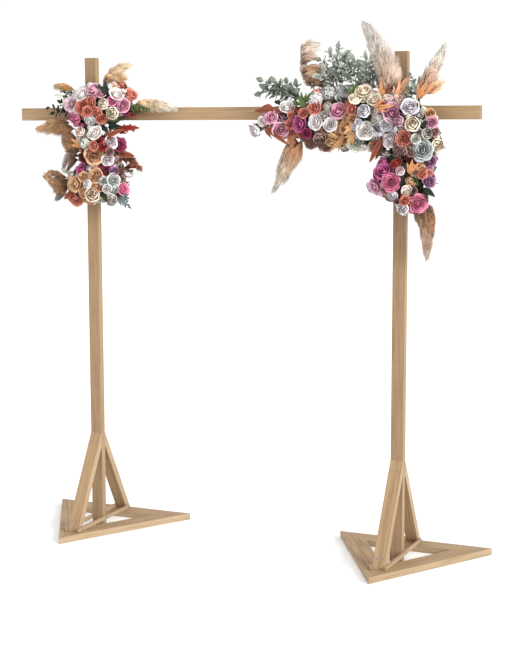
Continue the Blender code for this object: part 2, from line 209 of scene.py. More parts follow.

# Single leaves seen in the photograph: kind, base and tip in its pixels, and width in its pixels
# Many of the dark and brown leaves here fill gaps that lie in shadow, as painted shade
LEAVES_SEEN = {
    "left": rows("""
        dark 106 96 105 82 8, dark 103 94 98 84 6, dark 98 117 96 106 7, dark 95 118 100 109 6,
        dark 108 124 122 119 8, dark 108 127 119 125 7, dark 102 126 109 132 6, green 110 121 120 116 6,
        rust 104 137 123 130 6, red 116 130 135 126 7.5, rust 120 153 133 156 8, brown 122 158 134 160 7,
        rust 123 168 138 165 7.5, rust 130 160 142 169 6.5, brown 119 176 124 166 7,
        slate 136 165 143 171 5, slate 118 196 128 206 7, slate 120 194 129 199 6, dark 103 192 106 201 6,
        orange 82 148 70 138 5, peach 76 182 69 176 6, brown 78 152 66 150 7, rust 72 192 64 200 6.5,
        slate 62 196 54 200 5, rust 92 148 86 139 5, orange 98 163 92 170 6, peach 117 87 111 83 5,
        pale 63 96 54 95 5, pale 64 91 53 85 5, pale 66 173 61 168 4
    """),
    "right": rows("""
        rust 274 111 253 111 7, rust 272 107 259 107 5, rust 282 112 268 108 6, dark 282 104 274 101 6,
        green 306 107 297 98 7, green 303 104 300 92 6.5, green 305 103 310 91 6.5, green 299 105 292 101 6,
        green 352 96 347 86 6.5, green 354 93 356 82 6, rust 264 126 287 143 7, rust 293 138 297 152 8,
        orange 290 135 292 148 8, brown 305 137 325 149 9, brown 300 132 312 147 9, rust 298 117 303 108 7,
        yellow 337 134 347 117 6, yellow 353 124 344 135 6, yellow 345 134 328 153 6.5,
        yellow 355 132 345 146 6.5, orange 348 121 338 128 5, dark 346 126 341 131 4.5,
        dark 374 124 378 131 6, dark 347 103 341 97 6, dark 421 128 427 121 6, green 379 128 374 118 5,
        orange 370 110 392 103 8, orange 383 96 380 80 5, rust 386 95 389 84 5, peach 398 96 409 74 9,
        peach 395 97 400 83 6, orange 418 99 427 80 7, orange 420 99 424 85 7, rust 382 138 369 163 7,
        brown 384 141 376 160 6, orange 409 174 412 160 6, rust 415 178 426 168 6.5,
        orange 413 172 418 163 6, dark 414 182 417 172 5, dark 416 166 408 160 6, rust 399 200 413 204 6,
        brown 423 192 428 201 8, dark 424 188 434 196 7, sage 379 113 372 121 6, green 427 129 421 137 5,
        sage 418 94 411 80 7, sage 420 92 419 76 7, sage 419 93 427 83 6
    """),
}

# Plumes: spine from root and base by bend to tip, fullness, strands, colours at base and tip, and hang
Plume = namedtuple("Plume", "root base bend tip fullness strands colours hang")
PLUMES = {name: Plume(f[:3], f[3:6], f[6:9], f[9:12], f[12], f[13], f[14:16], f[16:]) for name, *f in rows("""
    left_top_plume -0.64 -0.03 2 -0.635 -0.035 2.07 -0.59 -0.045 2.15 -0.475 -0.06 2.175
        0.028 2000 tan sand 0.01 0 -0.01,
    left_beam_plume -0.56 -0.035 2 -0.48 -0.035 1.985 -0.37 -0.035 2 -0.26 -0.03 1.975
        0.028 2300 fawn pale 0 0 -0.008,
    left_outer_plume -0.73 -0.07 1.86 -0.765 -0.075 1.878 -0.88 -0.08 1.9 -0.975 -0.08 1.888
        0.032 2000 umber fawn 0 0 -0.012,
    left_middle_plume -0.7 -0.01 1.785 -0.77 -0.01 1.785 -0.83 -0.01 1.8 -0.88 -0.01 1.855
        0.03 1700 ochre tan 0 0 -0.01,
    left_lower_plume -0.75 -0.05 1.62 -0.81 -0.055 1.61 -0.885 -0.065 1.625 -0.94 -0.08 1.69
        0.024 1500 umber fawn 0 0 -0.012,
    left_upper_plume -0.73 -0.05 2 -0.775 -0.05 2.05 -0.83 -0.055 2.085 -0.89 -0.055 2.08
        0.018 1100 ochre straw 0 0 -0.006,
    right_curled_plume 0.395 -0.01 1.99 0.375 -0.01 2.055 0.29 0 2.13 0.33 0.01 2.215
        0.022 1500 dun rose_pale 0.012 0 -0.004,
    right_tall_plume 0.745 -0.035 1.96 0.735 -0.035 2.03 0.7 -0.03 2.2 0.58 -0.01 2.325
        0.054 5200 rose_fawn rose_pale 0.012 0 0.006,
    right_corner_plume 0.84 -0.03 1.96 0.86 -0.03 2.02 0.905 -0.03 2.1 0.965 -0.02 2.24
        0.038 2900 apricot rose_pale 0 0 0,
    right_low_plume 0.36 -0.045 1.88 0.33 -0.05 1.825 0.285 -0.06 1.72 0.205 -0.07 1.617
        0.036 2600 apricot pale 0 0 -0.01,
    right_tail_plume 0.845 -0.03 1.59 0.865 -0.025 1.54 0.91 -0.02 1.45 0.88 0 1.34
        0.034 2400 dun rose_fawn 0 0 -0.01
""")}

# Side heads of the plumes: base, bend and tip in the photograph's pixels, fullness, colours at base and tip
SIDE_HEADS = {
    "left_top_plume": rows("112 80 119 74 127 74.5 0.02 tan sand"),
    "left_outer_plume": rows("""
        70 123 60 120 44 119.5 0.02 umber fawn, 69 125 58 125 45 127 0.02 umber sand,
        72 127 63 127 54 129 0.018 umber fawn
    """),
    "left_middle_plume": rows("""
        81 147 72 135 58 128 0.028 ochre sand, 81 149 73 142 60 134 0.026 ochre tan,
        80 151 71 148 62 143 0.022 umber ochre, 80 157 67 148 62 168 0.022 brown rose_pale,
        79 160 71 156 66 170 0.016 brown rose_fawn
    """),
    "left_lower_plume": rows("""
        68 178 56 172 46 169.5 0.018 umber tan, 68 181 58 178 48 180 0.02 umber sand,
        69 183 60 183 52 190 0.02 umber fawn, 69 185 61 190 54 199.5 0.022 umber tan
    """),
    "right_curled_plume": rows("""
        300.5 58 301 39 320 41 0.024 rose_fawn rose_pale, 300.5 62 304 45 320 47 0.022 rose_fawn rose_pale,
        301 66 305 52 317 54 0.02 dun rose_pale, 301 76 308 61 324 67 0.018 umber rose_fawn,
        303 80 311 66 326 73 0.02 fawn rose_pale, 307 84 314 72 326 79 0.02 dun rose_fawn,
        311 87 316 78 325 84 0.018 dun rose_pale
    """),
    "right_tall_plume": rows("""
        389 90 395 78 398 66 0.024 rose_fawn rose_pale, 384 92 383 80 380 68 0.03 apricot rose_pale
    """),
    "right_corner_plume": rows("422 94 434 88 446 78 0.024 apricot sand"),
    "right_low_plume": rows("""
        296 138 285 152 275 174 0.028 apricot pale, 303 140 296 156 281 174 0.028 apricot pale
    """),
    "right_tail_plume": rows("""
        421 200 419 212 423 226 0.036 bark dun, 424 202 431 214 431 236 0.032 bark apricot
    """),
}
PLUME_COLOURS = {name: linear(*c) for name, *c in rows("""
    tan 224 178 132, sand 246 216 184, pale 250 232 212, umber 164 114 72, brown 146 108 80, bark 122 94 76,
    fawn 230 186 138, ochre 216 156 88, straw 238 200 140, dun 176 134 104, rose_fawn 234 200 176,
    rose_pale 250 238 228, apricot 228 166 120
""")}
# Strands of a side head by its fullness, strands in a tuft, the share that grows outside the tufts, and
# the usual length and half width of a strand
SIDE_HEAD_STRANDS, STRANDS_IN_A_TUFT, LOOSE_SHARE = 30000, 34, 0.3
STRAND_LENGTH, STRAND_WIDTH = 0.055, 0.0009
# Painted light along a strand, at its foot, round its middle and at its tip: partly the grass's own darker
# base, and partly painted shade at the foot, deep in the plume, and a painted highlight at the tip
STRAND_PAINTED_LIGHT = (0.66, 0.98, 0.98, 0.98, 1.18)

# Sprays of leaves: leaf kind, leaf scale, place along Y, and twigs of two or three places in the
# photograph's pixels
SPRAYS = {
    "left_upper_leaf_spray": ("green", 0.95, -0.015, rows("""
        84 100 72 96 63 92, 84 100 73 99 65 97, 80 98 70 92 60 88
    """)),
    "left_outer_leaf_spray": ("dark", 0.9, -0.04, rows("""
        74 112 64 109 50 108, 72 112 64 112 55 113, 72 108 62 103
    """)),
    "left_rust_leaf_spray": ("rust", 0.7, -0.03, rows("104 134 118 130 134 128")),
    "left_lower_rust_spray": ("rust", 0.65, -0.03, rows("104 152 122 158 138 167")),
    "left_grey_leaf_spray": ("slate", 0.8, -0.04, rows("104 190 116 197 128 206, 110 194 122 199")),
    "right_end_leaf_spray": ("sage", 1.3, -0.04, rows("""
        306 100 290 92 263 81, 304 100 280 92 261 93, 300 98 291 92 287 84, 296 96 284 90 276 83,
        304 101 298 94 296 87, 300 99 280 94 266 88
    """)),
    "right_centre_leaf_spray": ("dusty", 1.12, -0.02, rows("""
        336 92 337 70 338 49, 336 90 341 66 346 55, 335 92 330 72 321 61, 338 92 346 76 351 66,
        335 92 328 80 319 76, 337 90 334 72 331 54, 338 90 343 74 346 60, 336 90 332 82 325 70
    """)),
    "right_inner_leaf_spray": ("dusty", 1.05, -0.03, rows("""
        362 94 360 76 354 60, 362 94 366 74 366 58, 364 94 373 78 377 66, 360 94 350 80 343 68,
        366 94 377 84 380 76, 362 94 356 80 349 63, 363 94 370 80 372 60, 364 94 364 80 360 66
    """)),
}

# Further twigs that no solid stands for
MORE_TWIGS = {
    "left_beam_twig": ("green", 0.7, -0.06, rows("124 110 137 107 148 110, 126 112 138 112 145 108")),
    "right_corner_twig": ("sage", 0.8, -0.05, rows("""
        416 102 416 88 411 76, 417 102 421 90 424 78, 414 102 408 88
    """)),
}
# Points along a twig, its radii at the ends, and the leaves' distance as a share of their length
TWIG_POINTS, TWIG_RADII, TWIG_SPACING = 14, (0.0018, 0.0008), 0.26

# Petal layers of each form, from the heart outwards: petals, rim radius, rim height, belly radius, half
# angle and how far the rim rolls back
FORMS = {
    "rose": rows("""
        3 0.02 0.9 0.17 1.45 0, 3 0.25 0.94 0.38 1.22 0.03, 4 0.5 0.87 0.66 1.1 0.08,
        5 0.91 0.58 0.93 1 0.17
    """),
    "open": rows("""
        3 0.02 0.72 0.16 1.45 0, 4 0.22 0.8 0.34 1.1 0.03, 5 0.42 0.78 0.56 0.92 0.08,
        5 0.68 0.64 0.78 0.9 0.14, 6 0.96 0.42 0.94 0.8 0.18
    """),
    "ball": rows("""
        3 0.01 0.96 0.16 1.45 0, 3 0.16 0.99 0.34 1.2 0.01, 4 0.32 0.97 0.62 1.05 0.02,
        5 0.56 0.86 0.96 0.98 0.04
    """),
    "bud": rows("3 0.01 1.2 0.32 1.4 0, 3 0.17 1.17 0.54 1.2 0.01, 4 0.4 0.96 0.78 1.05 0.06"),
}
FORM_GIRTH = {"ball": 1.12, "bud": 1.08}
FORM_VARIANTS = 3
TUFT_FLORETS = 34
# Points across and along a petal, by the start of its form's name: of the blooms seen in the photograph,
# and of the further ones
PETAL_GRIDS = {"": (7, 5), "plain_": (5, 4)}
PETAL_THICKNESS, FLORET_THICKNESS = 0.02, 0.012
# How much wider than its radius in the lists a bloom is made, so that neighbours touch
BLOOM_SWELL = 1.02
# How near blooms may come, in shares of their radii, how nearly in line with a larger one a bloom comes out
# in front of it, in that one's radius, and the most that one gives way along the line of sight
CROWDING, IN_LINE, MOST_SHIFT = 0.82, 0.6, 0.02
# How deep under its rim a bloom is seated, and how long its cup is on either side of the seat, in radii
SEAT_DEPTH, CUP_LENGTH, STALK_RADIUS = 0.6, 0.12, 0.003
# How far the swag's outline spreads between its blooms, in pixels
OUTLINE_GROWTH = 4
# Radii of the further blooms, and how many places on each mass are tried for each
FILL_SIZES = ((0.036, 500), (0.031, 500), (0.026, 500), (0.021, 400), (0.017, 300), (0.014, 200))
# How far each may sink towards the moss to fit, how high above the moss it stays, in its radius, and how
# near it comes to its neighbours, in their radii
SINK_SHARES, FILL_LOWEST, FILL_SPACING = (0, 0.25, 0.5, 0.75, 1), 0.35, 0.76
# Their forms, above a radius and up to it, and the most that one turns to the back
LARGE_ABOVE, LARGE_FORMS, SMALL_FORMS = 0.02, ("rose", "open", "ball", "ball"), ("rose", "bud")
MOST_TURNED_BACK = 0.25
# The girth that one is given room for, and how far its rim lies behind its place and its top in front of it,
# in its radius
FILL_GIRTH, FILL_RIM, FILL_TOP = 1.06, 0.2, 0.5
# One hides a bloom that is seen unless it lies this far behind it, or aside of it by these shares of the
# radius of the seen one and of its own
HIDING_DEPTH, HIDING_SEEN, HIDING_OWN = 0.03, 0.72, 0.45
# How deep a bloom and a leaf may stand in the next mass, whose outline is at 1
BLOOM_OVERLAP, LEAF_OVERLAP = 0.93, 0.95

# The mossy core: how far it lies under the flowers' outline, how far it reaches at least, its margin inside
# the outline in the photograph, in pixels, how deep its back is hollowed beside the timber, and how far
# in front of its back a stem ends
CORE_INSET, CORE_LEAST, CORE_MARGIN, BACK_HOLLOW, BACK_GAP = 0.03, 0.03, 4, 0.012, 0.002
# How much the core's reach shrinks at a time to come within the outline, how far under its surface a point
# lies well inside it, and how far in front of the back the flowers start
CORE_SHRINK, CORE_INSIDE, BACK_ROOM = 0.94, 0.005, 0.008
# How far aside of a timber, or in front of it, a leaf is clear of it
TIMBER_ASIDE, TIMBER_BEFORE = 0.004, 0.003
# How many leaves are tried on a mass, by the product of its half sizes, and by their sum
STREWN_BY_AREA, BACK_BY_AREA = 1700, 7600
SIDE_BY_LENGTH, RIM_BY_LENGTH = 460, 110
# How near a leaf comes to the middle of a bloom, in its radius, and where along the leaf that is tested
LEAF_CLEARANCE, LEAF_PARTS = 0.75, (0.5, 0.85)
# Strewn leaves: how far they point outwards and sideways, and their scale
STREWN_OUT, STREWN_ASIDE, STREWN_SCALES = 0.75, 0.85, (0.75, 1.0)
# Side leaves: their size, how steeply they are tried, and the most that the core under them faces the front
# or the back
SIDE_LEAF, SIDE_LIFTS, SIDE_FACING = (0.042, 0.025), (0.34, 0.18, 0.06), 0.85
# Rim leaves: the lengths tried, their width in their length, how deep in the core their feet are, and how
# far in front of its back
RIM_LENGTHS, RIM_WIDTH, RIM_FOOT, RIM_DEPTHS = (0.052, 0.044, 0.036, 0.028), 0.58, 0.008, (0.004, 0.02)
# Back leaves: their lengths, their width in their length, how they lift off the core, the share of their
# kind's arch, and where along them the timber is looked for
BACK_LENGTHS, BACK_WIDTH, BACK_LIFTS, BACK_ARCH = (0.036, 0.052), 0.6, (0.16, 0.26), 0.4
BACK_PARTS = (0.35, 0.7, 1)
# Leaves seen: how far their base is sunk behind the outline, and how far their tip stands before the base
SEEN_SINK, SEEN_RISE = 0.012, 0.012
# For kinds of leaf narrower than this, and for the others: the share of its width in the list that a leaf
# gets, and the turn and size of it and of those beside it
NARROW_BELOW = 0.022
NARROW_FAN, WIDE_FAN = (0.62, ((0, 1), (0.42, 0.72), (-0.36, 0.78))), (0.95, ((0, 1), (0.5, 0.5)))

PINE_LIGHT, PINE_MID = linear(168, 139, 107), linear(156, 128, 97)
PINE_DARK, PINE_END = linear(136, 108, 79), linear(130, 100, 72)
RINGS_PER_METRE = 240.0
# Painted light: what the narrow sides' colour is multiplied by to make them paler and yellower like faces
# that the sun lights, on the posts and beam and on the bases
POST_SIDE_PAINTED_LIGHT, BASE_SIDE_PAINTED_LIGHT = (1.0, 1.05, 1.08), (1.05, 1.17, 1.26)


# Small closed shapes


def add_object(name, data):
    made = bpy.data.objects.new(name, data)
    bpy.context.scene.collection.objects.link(made)
    return made


class Batch:
    """Many small closed shapes gathered into one mesh, with a tint and a place on its blade at each point."""

    def __init__(self):
        self.points, self.faces, self.tints, self.blades = [], [], [], []
        self.count = 0

    def add(self, points, faces, tints, blade=(0.0, 0.0, 0.0)):
        self.points.append(points)
        self.faces.append(faces + self.count)
        self.tints.append(np.broadcast_to(tints, (len(points), 3)))
        self.blades.append(np.broadcast_to(blade, (len(points), 3)))
        self.count += len(points)

    def build(self, name, material):
        points = np.concatenate(self.points).astype(np.float32)
        faces = np.concatenate(self.faces).astype(np.int32)
        mesh = bpy.data.meshes.new(name)
        mesh.vertices.add(len(points))
        mesh.vertices.foreach_set("co", points.ravel())
        mesh.loops.add(faces.size)
        mesh.loops.foreach_set("vertex_index", faces.ravel())
        mesh.polygons.add(len(faces))
        mesh.polygons.foreach_set("loop_start", np.arange(0, faces.size, 3, dtype=np.int32))
        mesh.update(calc_edges=True)
        mesh.shade_smooth()
        for title, facts in (("tint", self.tints), ("blade", self.blades)):
            values = np.concatenate(facts)
            layer = mesh.color_attributes.new(title, "FLOAT_COLOR", "POINT")
            layer.data.foreach_set("color", np.c_[values, np.ones(len(values))].astype(np.float32).ravel())
        mesh.materials.append(material)
        return add_object(name, mesh)


def place(obj, slot, *nodes):
    """Rides a finished piece on the arch and hides the solids that it stands for; its finish, slot, is not
    used.
    """
    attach(obj, "root")
    if nodes:
        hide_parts(*nodes)


def part_turn(k, count):
    """The angle of the k-th of so many even steps round a circle."""
    return 2 * math.pi * k / count


def way(side, other, angle):
    """The direction at an angle from one direction towards another."""
    return side * math.cos(angle) + other * math.sin(angle)


def ring(centre, side, other, radius, count):
    """Points spread evenly round a circle that two directions span."""
    return [centre + way(side, other, part_turn(k, count)) * radius for k in range(count)]


def spun_to(out, rng):
    """The turn of +Z to a direction, with a random turn about it."""
    return out.to_track_quat("Z", "Y").to_matrix() @ Matrix.Rotation(rng.uniform(0, ANY_TURN), 3, "Z")


def any_way_along(normal, rng):
    """A random direction along a surface."""
    along = normal.orthogonal().normalized()
    along.rotate(Matrix.Rotation(rng.uniform(0, ANY_TURN), 3, normal))
    return along


def wall(rings, sides, closed=False):
    """Triangles between rings of points that follow each other; closed, the last leads to the first."""
    faces = []
    for i in range(rings if closed else rings - 1):
        for k in range(sides):
            a, b = i * sides + k, i * sides + (k + 1) % sides
            c, d = ((corner + sides) % (rings * sides) for corner in (b, a))
            faces += [(a, b, c), (a, c, d)]
    return faces


def tube(path, radii, sides):
    """Points and triangles of a closed round tube along a list of points."""
    points = []
    side = (path[1] - path[0]).orthogonal().normalized()
    for i, (p, radius) in enumerate(zip(path, radii)):
        along = (path[min(i + 1, len(path) - 1)] - path[max(i - 1, 0)]).normalized()
        side = (side - along * side.dot(along)).normalized()
        points += ring(p, side, along.cross(side), radius, sides)
    faces = wall(len(path), sides)
    last = (len(path) - 1) * sides
    for k in range(1, sides - 1):
        faces += [(0, k + 1, k), (last, last + k, last + k + 1)]
    return np.array([tuple(p) for p in points]), np.array(faces)


def hoop(path, axis, radius, sides):
    """Points and triangles of a round wire about an axis that runs back into its own start."""
    points = []
    for i, p in enumerate(path):
        along = (path[(i + 1) % len(path)] - path[i - 1]).normalized()
        points += ring(p, axis, along.cross(axis).normalized(), radius, sides)
    return np.array([tuple(p) for p in points]), np.array(wall(len(path), sides, closed=True))[:, ::-1]


def turned(profile, sides):
    """Points and triangles of a closed solid turned about +Z, from its places of radius and height."""
    points = [(0, 0, profile[0][1])]
    for radius, height in profile:
        for k in range(sides):
            angle = part_turn(k, sides)
            points.append((radius * math.cos(angle), radius * math.sin(angle), height))
    last = len(points)
    points.append((0, 0, profile[-1][1]))
    faces = [(1 + a, 1 + b, 1 + c) for a, b, c in wall(len(profile), sides)]
    for k in range(sides):
        after = (k + 1) % sides
        faces += [(0, 1 + after, 1 + k), (last, last - sides + k, last - sides + after)]
    return np.array(points, float), np.array(faces)


def sheet_faces(across, along):
    """Triangles of a thin closed blade: a grid in front, and one behind that shares its border."""
    front = np.arange(across * along).reshape(along, across)
    back = front.copy()
    inner = (along - 2) * (across - 2)
    back[1:-1, 1:-1] = across * along + np.arange(inner).reshape(along - 2, across - 2)
    faces = []
    for grid, order in ((front, 1), (back, -1)):
        a, b = grid[:-1, :-1].ravel(), grid[:-1, 1:].ravel()
        c, d = grid[1:, 1:].ravel(), grid[1:, :-1].ravel()
        faces += [np.c_[a, b, c][:, ::order], np.c_[a, c, d][:, ::order]]
    return np.concatenate(faces)


def on_sheet(*grids):
    """Values on a blade's grid, in the order of the points that thicken gives."""
    return [np.concatenate([g.ravel(), g[1:-1, 1:-1].ravel()]) for g in np.broadcast_arrays(*grids)]


def thicken(grid, thickness):
    """The points of sheet_faces for a grid of points (along, across, 3), with its back pushed behind it."""
    normal = np.cross(np.gradient(grid, axis=1), np.gradient(grid, axis=0))
    normal = normal / np.maximum(np.linalg.norm(normal, axis=2, keepdims=True), 1e-9)
    back = (grid - normal * thickness)[1:-1, 1:-1]
    return np.concatenate([grid.reshape(-1, 3), back.reshape(-1, 3)])


def blade_places(u, v, rng):
    """Each point's place across and along its blade, and a number of the blade's own."""
    return np.stack([u, v, np.full(len(u), rng.uniform(0, 1))], axis=1)


def gathered(petals, petal_faces):
    """A bloom's points, triangles, shade and places on its petals, from all but the triangles of each."""
    points, shade, blades = (np.concatenate(facts) for facts in zip(*petals))
    starts = len(petals[0][0]) * np.arange(len(petals))
    return points, (petal_faces + starts[:, None, None]).reshape(-1, 3), shade, blades


def petal(turn, rim, height, belly, half_angle, flare, pointed, grid_size, rng):
    """One petal of a bloom of radius 1 that faces +Z: its points, and their places across and along it."""
    across, along = grid_size
    u = np.linspace(-1, 1, across)[None, :]
    v = np.linspace(0, 1, along)[:, None] ** 0.85
    reach = v * (1 - 0.2 * np.abs(u) ** 2.4 - pointed * (1 - (1 - np.abs(u)) ** 2))
    radius = 2 * reach * (1 - reach) * belly * 1.15 + reach**2 * rim + 0.05
    level = 2 * reach * (1 - reach) * 0.22 * height + reach**2 * height
    curl = np.clip((reach - 0.68) / 0.32, 0, 1) ** 2
    radius = radius + curl * flare
    level = level - curl * flare * 0.8
    wave = rng.uniform(0.01, 0.035)
    level = level + wave * np.sin(rng.uniform(3, 5) * u + rng.uniform(0, 6)) * v**2
    radius = radius * (1 + 0.08 * u)
    angle = turn + u * (half_angle * (0.55 + 0.45 * np.sin(np.pi * (0.15 + 0.6 * v))))
    grid = np.stack([radius * np.cos(angle), radius * np.sin(angle), level], axis=2)
    return thicken(grid, PETAL_THICKNESS), *on_sheet(u, reach)


def bloom_form(form, grid_size, rng):
    """One silk bloom of radius 1 that faces +Z: points, triangles, shade, painted shade and places on the
    petals.
    """
    petals = []
    turn = rng.uniform(0, ANY_TURN)
    layers = FORMS[form]
    closed = {"rose": 0.5, "open": 0.55}.get(form, 0.75)
    for number, (count, rim, height, *shape) in enumerate(layers):
        turn += SPREAD_TURN
        depth = number / (len(layers) - 1)
        pointed = 0.06 * depth if form in ("rose", "open") else 0
        for k in range(int(count)):
            heading = turn + part_turn(k, count) + rng.uniform(-0.14, 0.14)
            size = rng.uniform(0.94, 1.05)
            co, u, v = petal(heading, rim * size, height * size, *shape, pointed, grid_size, rng)
            tone = rng.uniform(0.93, 1.0)
            shade = np.clip(v**1.3 * (closed + (1 - closed) * depth) * tone + 0.08, 0, 1)
            petals.append((co, shade, blade_places(u, v, rng)))
    points, faces, shade, blades = gathered(petals, sheet_faces(*grid_size))
    # Painted shade: the lower a point lies in the bloom, the darker its tint, like shadow among the petals
    painted_shade = np.clip(0.56 + 0.7 * points[:, 2], 0.45, 1)
    points[:, :2] *= FORM_GIRTH.get(form, 1)
    return points, faces, shade, painted_shade, blades


def tuft_form(rng):
    """A head of small four-petalled florets on a dome of radius 1 that faces +Z."""
    u = np.linspace(-1, 1, 3)[None, :]
    v = np.linspace(0, 1, 4)[:, None]
    width = 0.52 * np.sin(np.pi * (0.12 + 0.8 * v)) ** 0.8
    rise = 0.18 * v + 0.1 * v**2 + 0.06 * np.abs(u)
    one = np.stack([v + 0 * u, u * width, rise], axis=2)
    across, along = on_sheet(u, v)
    petals = []
    for i in range(TUFT_FLORETS):
        level = 1 - 1.15 * (i + 0.5) / TUFT_FLORETS
        girth = math.sqrt(max(0, 1 - level * level))
        heading = SPREAD_TURN * i
        out = Vector((girth * math.cos(heading), girth * math.sin(heading), level))
        turn = np.array(spun_to(out, rng)).T
        size = rng.uniform(0.25, 0.33)
        lift = rng.uniform(0.7, 0.86)
        tone = rng.uniform(0.85, 1)
        for k in range(4):
            c, s = math.cos(part_turn(k, 4)), math.sin(part_turn(k, 4))
            grid = one * size @ np.array([[c, s, 0], [-s, c, 0], [0, 0, 1]])
            co = thicken(grid, FLORET_THICKNESS) @ turn + np.array(out) * lift
            petals.append((co, (0.3 + 0.7 * along) * tone, blade_places(across, along, rng)))
    points, faces, shade, blades = gathered(petals, sheet_faces(3, 4))
    # Painted shade: florets low on the dome are darkened, like shadow among them
    return points, faces, shade, np.clip(0.6 + 0.6 * points[:, 2], 0.4, 1), blades


def leaf_form(length, width, arch, fold, wave, rng, grid_size):
    """One leaf along +X with its upper side to +Z: points, triangles, and places across and along it."""
    across, along = grid_size
    u = np.linspace(-1, 1, across)[None, :]
    v = np.linspace(0, 1, along)[:, None]
    half = width / 2 * np.sin(np.pi * v**0.85) ** 0.75 * (1 - 0.25 * v) + LEAF_TIP
    phase = rng.uniform(0, 6)
    x = length * (v + 0 * u)
    y = u * half + 0.04 * length * np.sin(3 * v + phase) * v
    z = -arch * length * v**2 + fold * half * np.abs(u) + wave * width * np.sin(9 * v + phase + u) * np.abs(u)
    grid = np.stack([x, y, z], axis=2)
    return thicken(grid, LEAF_THICKNESS), sheet_faces(across, along), *on_sheet(u, v)


def add_leaf(
    batch, kind, at, direction, facing, rng, scale=1.0, size=None, arch_share=1.0, grid_size=STREWN_LEAF
):
    """Adds one leaf from a point, along a direction, with its upper side turned towards facing."""
    leaf = LEAVES[kind]
    length, width = size or (leaf.length, leaf.width)
    arch, fold = leaf.arch * arch_share, leaf.fold * arch_share
    points, faces, u, v = leaf_form(length * scale, width * scale, arch, fold, leaf.wave, rng, grid_size)
    x = Vector(direction).normalized()
    z = Vector(facing) - x * x.dot(Vector(facing))
    z = z.normalized() if z.length > 1e-6 else x.orthogonal().normalized()
    turn = np.array([x, z.cross(x), z])
    tone = rng.uniform(0.75, 1.15)
    shade = (0.2 + 0.8 * np.abs(u) ** 1.5) * (0.55 + 0.45 * v)
    tints = (leaf.deep + (leaf.light - leaf.deep) * shade[:, None]) * tone
    batch.add(points @ turn + np.array(at), faces, tints, blade_places(u, v, rng))


# Materials


class Paint:
    """A material and its nodes, whose inputs are sockets, numbers or colours."""

    def __init__(self, name):
        self.material = bpy.data.materials.new(name)
        self.material.use_nodes = True
        self.tree = self.material.node_tree

    def feed(self, node, inputs):
        for key, given in inputs.items():
            socket = node.inputs[key]
            if isinstance(given, bpy.types.NodeSocket):
                self.tree.links.new(given, socket)
            else:
                socket.default_value = (*given, 1) if socket.type == "RGBA" else given

    def node(self, kind, inputs, **settings):
        """Adds a node with its inputs by name or number, and gives its outputs."""
        made = self.tree.nodes.new("ShaderNode" + kind)
        for key, setting in settings.items():
            setattr(made, key, setting)
        self.feed(made, inputs)
        return made.outputs

    def coordinates(self):
        return self.node("TexCoord", {})["Object"]

    def mapped(self, vector, **inputs):
        return self.node("Mapping", {"Vector": vector, **inputs})["Vector"]

    def speckle(self, vector, **inputs):
        return self.node("TexNoise", {"Vector": vector, **inputs})["Fac"]

    def math(self, operation, *inputs):
        return self.node("Math", dict(enumerate(inputs)), operation=operation)[0]

    def add(self, a, b):
        return self.math("ADD", a, b)

    def times(self, a, b):
        return self.math("MULTIPLY", a, b)

    def mix(self, factor, a, b, blend="MIX"):
        return self.node("Mix", {0: factor, 6: a, 7: b}, data_type="RGBA", blend_type=blend)[2]

    def ramp(self, factor, *stops):
        """A colour ramp; each stop is a place, and a colour or a grey."""
        made = self.tree.nodes.new("ShaderNodeValToRGB")
        elements = made.color_ramp.elements
        while len(elements) < len(stops):
            elements.new(0.5)
        for element, (at, colour) in zip(elements, stops):
            element.position = at
            element.color = (*np.broadcast_to(colour, 3), 1)
        self.feed(made, {"Fac": factor})
        return made.outputs["Color"]

    def facing(self, direction, low, high):
        """How far a surface faces along a direction, either way: 0 up to the low share, 1 from the high."""
        normal = self.node("NewGeometry", {})["Normal"]
        lined = self.node("VectorMath", {0: normal, 1: direction}, operation="DOT_PRODUCT")["Value"]
        return self.ramp(self.math("ABSOLUTE", lined), (low, 0), (high, 1))

    def bump(self, height, strength, distance):
        return self.node("Bump", {"Height": height, "Strength": strength, "Distance": distance})["Normal"]

    def finish(self, inputs):
        """Sets the shader's inputs and gives the material."""
        self.feed(self.tree.nodes["Principled BSDF"], inputs)
        return self.material


